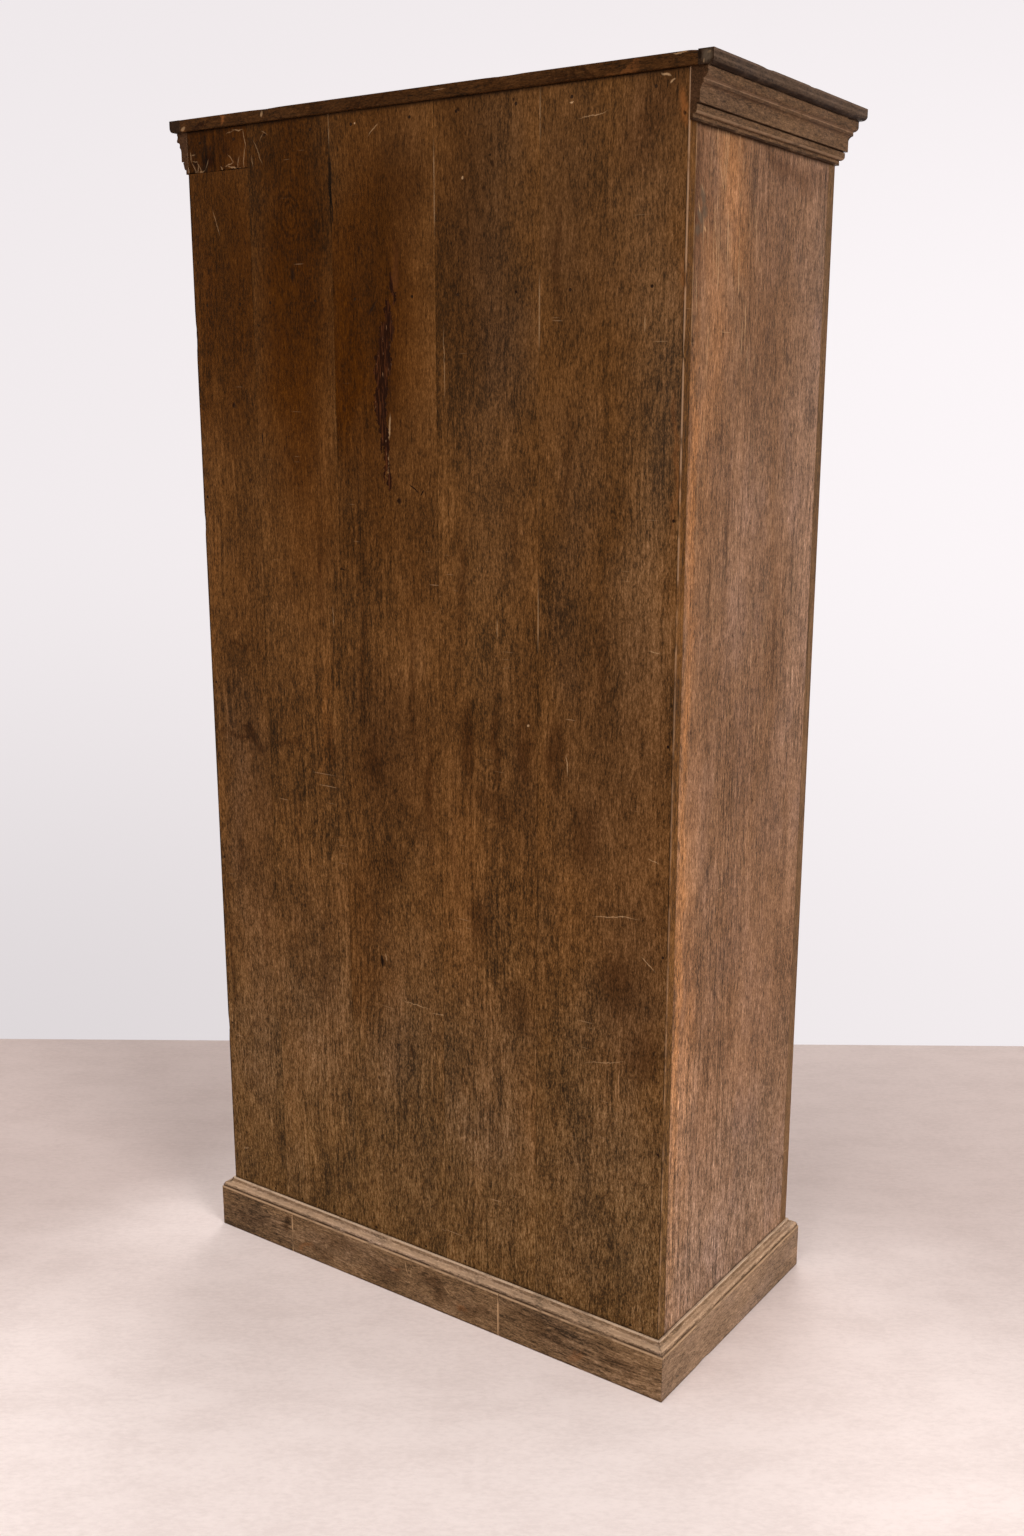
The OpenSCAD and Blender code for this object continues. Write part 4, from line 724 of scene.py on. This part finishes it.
# Hollows in mm: the middle, half sizes, the way that the wood gives, and how far
SCAR_DEPTH = 2.2
HOLLOWS = {
    "back_board_3": [((45, 246, 1752), (8, 9, 38), (0, -1, 0), 1.2),
        ((56, 246, 1690), (13, 9, 56), (0, -1, 0), SCAR_DEPTH),
        ((66, 246, 1628), (16, 9, 50), (0, -1, 0), SCAR_DEPTH), ((75, 246, 1572), (10, 9, 36), (0, -1, 0), 1.8),
        ((60, 246, 1500), (6, 9, 52), (0, -1, 0), 1.2), ((93, 246, 636), (7, 9, 14), (0, -1, 0), 1.8),
        ((36, 246, 1435), (6, 9, 6), (0, -1, 0), 1.2)],
    "back_board_2": [((254, 246, 1793), (6, 9, 14), (0, -1, 0), 1.2)],
    "back_board_1": [((402, 246, 1584), (5, 9, 6), (0, -1, 0), 1.0), ((484, 246, 1700), (4, 5, 22), (-1, -1, 0), 1.8),
        ((484, 246, 1380), (4, 5, 14), (-1, -1, 0), 1.6), ((484, 246, 420), (4, 5, 20), (-1, -1, 0), 1.6)],
    "back_corner_patch": [((480, 246, 1966), (16, 12, 11), (-0.2, -1, 0.7), 5.0),
        ((404, 246, 1965), (6, 8, 6), (0, -0.6, 1), 2.6), ((374, 246, 1965), (22, 8, 5), (0, -0.8, 1), 2.2),
        ((347, 246, 1967), (8, 8, 7), (1, -1, 1), 2.2)],
    "back_board_5": [((-484, 246, 1665), (4, 5, 16), (1, -1, 0), 2.2),
        ((-484, 246, 1650), (4, 5, 9), (1, -1, 0), 1.6), ((-484, 246, 905), (4, 5, 18), (1, -1, 0), 1.8),
        ((-484, 246, 300), (4, 5, 12), (1, -1, 0), 1.6)],
    "cornice_right": [((511, 246, 2026), (9, 16, 8), (-1, -0.3, 0), 4.5),
        ((506, 246, 2012), (6, 9, 4), (-1, -0.5, 0), 2.5), ((499, 246, 1976), (7, 8, 6), (-1, -0.6, 0), 2.6)],
    "cornice_left": [((-511, 246, 2016), (7, 9, 5), (1, -0.6, 0), 2.2),
        ((-498, 246, 1980), (6, 8, 6), (1, -0.6, 0), 2.2)],
    "top_edging_left": [((-519, 264, 2050), (9, 9, 7), (0.7, -0.7, -0.7), 2.6),
        ((-500, 265, 2050), (5, 8, 5), (0.4, -1, -1), 2.4), ((-521, 90, 2049), (5, 16, 4), (1, 0, -0.6), 1.8),
        ((-521, -60, 2048), (5, 12, 4), (1, 0, -0.6), 1.6)],
    "top_edging_right": [((519, 264, 2036), (10, 9, 6), (-0.8, -0.6, 0.6), 2.6)],
    "top_board": [((-494, 250, 2049), (7, 7, 5), (0, -1, -0.6), 2.2),
        ((300, 250, 2050), (24, 5, 4), (0, -1, -0.7), 1.4), ((120, 250, 2032), (30, 5, 4), (0, -1, 0.7), 1.3),
        ((-180, 250, 2050), (26, 5, 4), (0, -1, -0.7), 1.3)],
    "plinth_back_1": [((316, 263, 78), (7, 6, 7), (0, -1, -0.6), 1.8),
        ((501, 263, 40), (6, 6, 14), (-1, -1, 0), 1.6)],
    "plinth_back_3": [((-173, 263, 76), (7, 6, 7), (0, -1, -0.6), 1.8),
        ((-502, 263, 30), (6, 6, 12), (1, -1, 0), 1.6)],
    "plinth_left": [((-504, 120, 2), (6, 16, 7), (1, 0, 0.5), 1.8),
        ((-504, -190, 80), (6, 14, 5), (1, 0, -0.6), 1.6)],
}
HOLLOW_STEPS = (-1.0, -0.6, -0.2, 0.2, 0.6, 1.0)
# How far a hollow reaches and the mesh is cut, in its half sizes
HOLLOW_REACH, HOLLOW_ROOM = 1.2, 1.3


def near_hollow(face, middle, half):
    """Whether a face's box comes within a hollow's box."""
    return all(min(vert.co[axis] for vert in face.verts) < (middle[axis] + HOLLOW_ROOM * half[axis]) * MM
               and max(vert.co[axis] for vert in face.verts) > (middle[axis] - HOLLOW_ROOM * half[axis]) * MM
               for axis in (X, Y, Z))


def cut_hollows(bm, name):
    """Cuts the mesh finely where a hollow is to be pressed in."""
    low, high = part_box(name)
    for middle, half, _, _ in HOLLOWS.get(name, ()):
        for axis in (Z, X, Y):
            for step in HOLLOW_STEPS:
                place = (middle[axis] + step * half[axis]) * MM
                if low[axis] + MM < place < high[axis] - MM:
                    cut(bm, place, axis, [face for face in bm.faces if near_hollow(face, middle, half)])


def press_hollows(bm, name):
    """Presses the hollows in, each with a ragged floor."""
    for middle, half, way, depth in HOLLOWS.get(name, ()):
        way = Vector(way).normalized() * depth * MM
        for vert in bm.verts:
            off = Vector([(vert.co[axis] / MM - middle[axis]) / half[axis] for axis in (X, Y, Z)]).length
            if off < HOLLOW_REACH:
                ragged = 0.7 + 0.5 * noise.noise(vert.co * 160)
                vert.co += way * (1 - (off / HOLLOW_REACH) ** 2) * ragged


def at_seam(name, point):
    """Whether a point of a back board lies on a closed joint with the next board."""
    if not name.startswith("back_"):
        return False
    return any(abs(point.x - seam) < SEAM_REACH for seam in BOARD_SEAMS) or (
        abs(point.z - PATCH_FOOT) < SEAM_REACH and point.x > BOARD_SEAMS[0])


def bevel(bm, name, offset, seams):
    """Rounds off the sharp edges, either those on the boards' joints or all the others."""
    sharp = [edge for edge in bm.edges if edge.is_manifold and edge.calc_length() > SHORTEST
             and edge.calc_face_angle() > SHARP_ANGLE
             and seams == all(at_seam(name, vert.co) for vert in edge.verts)]
    bmesh.ops.bevel(bm, geom=sharp, offset=offset, segments=2, profile=0.5, affect="EDGES", clamp_overlap=True)


def is_side(centre, normal):
    """Whether a face of a moulding belongs to the run along the case's side."""
    out_x = abs(centre.x) - CASE_HALF
    out_y = max(centre.y - CASE_BACK, CASE_FRONT - centre.y)
    return abs(normal.x) > abs(normal.y) if abs(normal.z) < LEVEL else out_x > out_y


def dent(point):
    """How far an arris gives at a point: slow waves, and a few sharp nicks."""
    slow = 0.5 + 0.5 * noise.noise(point * 13)
    quick = max(0.0, noise.noise(point * 61 + Vector((7, 3, 5))) - 0.28)
    return 0.9 * slow ** 2 + 2.6 * quick


def slice_up(bm, name):
    """Cuts a piece near its ends, where its hollows are, and in even steps along its length."""
    low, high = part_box(name)
    size = high - low
    for axis in (X, Y, Z):
        if size[axis] > 3 * MARGIN:
            cut(bm, low[axis] + MARGIN, axis)
            cut(bm, high[axis] - MARGIN, axis)
    cut_hollows(bm, name)
    longest = max((X, Y, Z), key=lambda axis: size[axis])
    apart, _ = WORN[slot_of[name]]
    count = int(size[longest] / (apart * MM))
    for step in range(1, count):
        cut(bm, low[longest] + size[longest] * step / count, longest)


def wear_arrises(bm, name):
    """Dents the outer arrises, and marks them for wear with painted highlight, and the inner corners for dirt with
    painted shade.
    """
    strip, inner = set(), set()
    for edge in bm.edges:
        if edge.is_manifold and abs(edge.calc_face_angle()) > STRIP_ANGLE:
            (strip if edge.is_convex else inner).update(edge.verts)
    wear = bm.verts.layers.float.new("wear")
    dirt_and_shade = bm.verts.layers.float.new("dirt_and_shade")
    _, depth = WORN[slot_of[name]]
    moves = []
    for vert in bm.verts:
        closed = at_seam(name, vert.co)
        vert[wear] = 1.0 if vert in strip and vert not in inner and not closed else 0.0
        vert[dirt_and_shade] = 1.0 if vert in inner and not closed else 0.0
        if vert in strip:
            share = CLOSED_SHARE if closed else 1.0
            moves.append((vert, vert.normal * (share * (depth * MM) * dent(vert.co))))
    for vert, move in moves:
        vert.co -= move


def worn_piece(name):
    """A copy of a node with its arrises rounded off and dented, and attributes for wear with painted highlight on the
    arrises and for dirt with painted shade in the inner corners.
    """
    bm = bmesh.new()
    bm.from_mesh(nodes[name].data)
    bmesh.ops.remove_doubles(bm, verts=bm.verts, dist=WELD)
    bmesh.ops.dissolve_limit(bm, angle_limit=FLAT_ANGLE, verts=bm.verts, edges=bm.edges)
    bevel(bm, name, CLOSE_OFF, True)
    bevel(bm, name, ROUND_OFF, False)
    slice_up(bm, name)
    bm.normal_update()
    wear_arrises(bm, name)
    press_hollows(bm, name)
    turned = bm.faces.layers.float.new("turned")
    if name == "plinth_mouldings":
        for face in bm.faces:
            face[turned] = 1.0 if is_side(face.calc_center_median(), face.normal) else 0.0
    mesh = bpy.data.meshes.new(name + "_worn")
    bm.to_mesh(mesh)
    bm.free()
    mesh.shade_smooth()
    mesh.set_sharp_from_angle(angle=SMOOTH_ANGLE)
    piece = new_object(name + "_worn", mesh)
    piece.modifiers.new("normals", "WEIGHTED_NORMAL").keep_sharp = True
    mesh.materials.append(looks[name])
    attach(piece, body_of[name])
    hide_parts(name)


for name in sorted(nodes):
    if slot_of[name] in WORN and name != "hanging_rail":
        worn_piece(name)
    else:
        nodes[name].data.materials.clear()
        nodes[name].data.materials.append(looks[name])


# Camera, as solved from the photograph's corners

PHOTO = (1024, 1536)
FOCAL_PIXELS = 1533.0
CENTRE_PIXELS = (556.8, 786.1)
SENSOR = 36.0
CAMERA_AT = Vector((-1.5832, 2.1914, 1.5826))
AZIMUTH, PITCH, ROLL = (math.radians(angle) for angle in (213.9, 13.82, 0.41))

camera = new_object("camera", bpy.data.cameras.new("camera"))
bpy.context.scene.camera = camera
camera.data.sensor_width = SENSOR
camera.data.lens = FOCAL_PIXELS / PHOTO[1] * SENSOR
camera.data.shift_x = -(CENTRE_PIXELS[0] - PHOTO[0] / 2) / PHOTO[1]
camera.data.shift_y = (CENTRE_PIXELS[1] - PHOTO[1] / 2) / PHOTO[1]
forward = Vector((-math.sin(AZIMUTH) * math.cos(PITCH), math.cos(AZIMUTH) * math.cos(PITCH), -math.sin(PITCH)))
right = forward.cross(Vector((0, 0, 1))).normalized()
up = right.cross(forward)
right, up = (right * math.cos(ROLL) + up * math.sin(ROLL), up * math.cos(ROLL) - right * math.sin(ROLL))
turn = Matrix((right, up, -forward)).transposed().to_4x4()
camera.matrix_world = Matrix.Translation(CAMERA_AT) @ turn


# Floor, backdrop and light

WALL_AWAY = 3.67
FLOOR_REACH = 9.0
# The floor's pale colour near the camera, and its painted shade far from it
FLOOR_PALE, FLOOR_FAR_SHADE = rgb(255, 238, 232), rgb(203, 183, 176)
# Factors of the floor's mottle, and of the painted shade on the floor far from the wardrobe
MOTTLE, DISTANT_SHADE = (0.78, 0.75, 0.74, 1.0), (0.62, 0.60, 0.60, 1.0)
# The middle and half size of the plinth in x and y, and the reach of the painted light on the floor beside it that
# pales its contact shadow, in mm
PLINTH_BOX = ((0.0, 504.0), (8.5, 256.5))
PAINTED_LIGHT_REACH = 340
# The wall's colours at the left and right, and above and below what the photograph shows
# The wall is painted darker low down and to the left, as shade on the backdrop
WALL_LOW = rgb(221, 215, 217), rgb(242, 236, 238)
WALL_HIGH = rgb(241, 235, 237), rgb(252, 246, 248)
ABOVE, BELOW = rgb(236, 230, 232), rgb(212, 193, 186)
SKY_LIGHT = 0.33
AIM = Vector((0, 0, 1.0))


def floor():
    """A pale floor that ends in a straight line where the photograph's wall stands."""
    ahead = Vector((forward.x, forward.y, 0)).normalized()
    aside = Vector((ahead.y, -ahead.x, 0))
    start = Vector((CAMERA_AT.x, CAMERA_AT.y, 0))
    wall, rear, edge = start + ahead * WALL_AWAY, start - ahead * FLOOR_REACH, aside * FLOOR_REACH
    mesh = bpy.data.meshes.new("floor")
    mesh.from_pydata([wall + edge, wall - edge, rear - edge, rear + edge], [], [(0, 1, 2, 3)])
    piece = new_object("floor", mesh)
    material = bpy.data.materials.new("floor")
    tree = Tree(material)
    here = tree.coordinates("Object")
    along = tree.vector("DOT_PRODUCT", here, ahead)
    away = tree.maths("SUBTRACT", along, start.dot(ahead))
    cloud = tree.noise(here, 2.2, detail=6, roughness=0.6)
    # Painted light fall-off: pale near the camera and darker away from it
    far = tree.between(tree.plus(away, tree.times(cloud, 0.5)), 2.2, 3.2)
    colour = tree.mix(far, FLOOR_PALE, FLOOR_FAR_SHADE)
    places = tree.split(here)
    outside = tree.most(*(tree.maths("SUBTRACT", tree.off(place, middle), half * MM)
                          for place, (middle, half) in zip(places, PLINTH_BOX)))
    # Painted light on the floor round the plinth, stronger on its +x side, that pales the plinth's contact shadow
    painted_light = tree.between(places[X], -0.6, 0.6, 0.25, 0.65)
    colour = tree.mix(tree.times(tree.between(outside, PAINTED_LIGHT_REACH * MM, 0.0), painted_light), colour, FLOOR_PALE)
    beside = tree.vector("DOT_PRODUCT", here, aside)
    sheet = tree.join(tree.times(beside, 0.45), along, 0.0)
    mottle = tree.plus(tree.times(tree.noise(sheet, 13, detail=5, roughness=0.68), 0.5),
                       tree.times(tree.noise(sheet, 150, detail=3, roughness=0.75), 0.5))
    colour = tree.mix(tree.between(mottle, 0.38, 0.66, 0.0, 0.5), colour, MOTTLE, "MULTIPLY")
    # Painted shade on the floor far from the wardrobe
    colour = tree.mix(tree.between(tree.vector("LENGTH", here), 2.6, 6.5), colour, DISTANT_SHADE, "MULTIPLY")
    tree.surface(colour, 0.7, tree.noise(here, 60, detail=4), 0.15, specular_ior_level=0.2)
    mesh.materials.append(material)


def backdrop():
    """The world: near white to the eye, and a plain soft light for the object."""
    world = bpy.data.worlds.new("studio")
    bpy.context.scene.world = world
    tree = Tree(world)
    path = tree.add("LightPath").outputs
    seen = tree.most(path["Is Camera Ray"], path["Is Glossy Ray"], path["Is Transmission Ray"])
    toward = tree.coordinates("Generated")
    rise = tree.split(toward)[Z]
    across = tree.between(tree.vector("DOT_PRODUCT", toward, right), -0.4, 0.35)
    wall = tree.mix(tree.between(rise, -0.42, -0.05), tree.mix(across, *WALL_LOW), tree.mix(across, *WALL_HIGH))
    wall = tree.mix(tree.between(rise, 0.02, 0.35, 0.0, 0.7), wall, ABOVE)
    forth = tree.between(tree.vector("DOT_PRODUCT", toward, forward), 0.45, 0.15)
    wall = tree.mix(tree.times(tree.between(rise, -0.18, -0.32), forth), wall, BELOW)
    eye = tree.add("Background", {"Color": wall, "Strength": 1.0}).outputs[0]
    light = tree.add("Background", {"Color": (1, 1, 1, 1), "Strength": SKY_LIGHT}).outputs[0]
    both = tree.add("MixShader", {"Fac": seen, 1: light, 2: eye})
    tree.add("OutputWorld", {"Surface": both.outputs[0]})


def lamp(name, kind, at, energy, **settings):
    """A lamp that faces the middle of the wardrobe."""
    data = bpy.data.lights.new(name, kind)
    data.energy = energy
    for setting, value in settings.items():
        setattr(data, setting, value)
    piece = new_object(name, data)
    piece.location = at
    piece.rotation_euler = (AIM - Vector(at)).to_track_quat("-Z", "Y").to_euler()


floor()
backdrop()
lamp("key", "SUN", (-10.4, 3.0, 4.9), 2.25, angle=math.radians(28))
lamp("fill", "AREA", (-0.8, 11.0, 9.0), 500, size=5.0)
lamp("front", "AREA", (2.5, -5.5, 2.0), 200, size=3.4)
lamp("top", "AREA", (0.0, 0.3, 5.4), 90, size=4.0)

bpy.context.scene.view_settings.view_transform = "Standard"
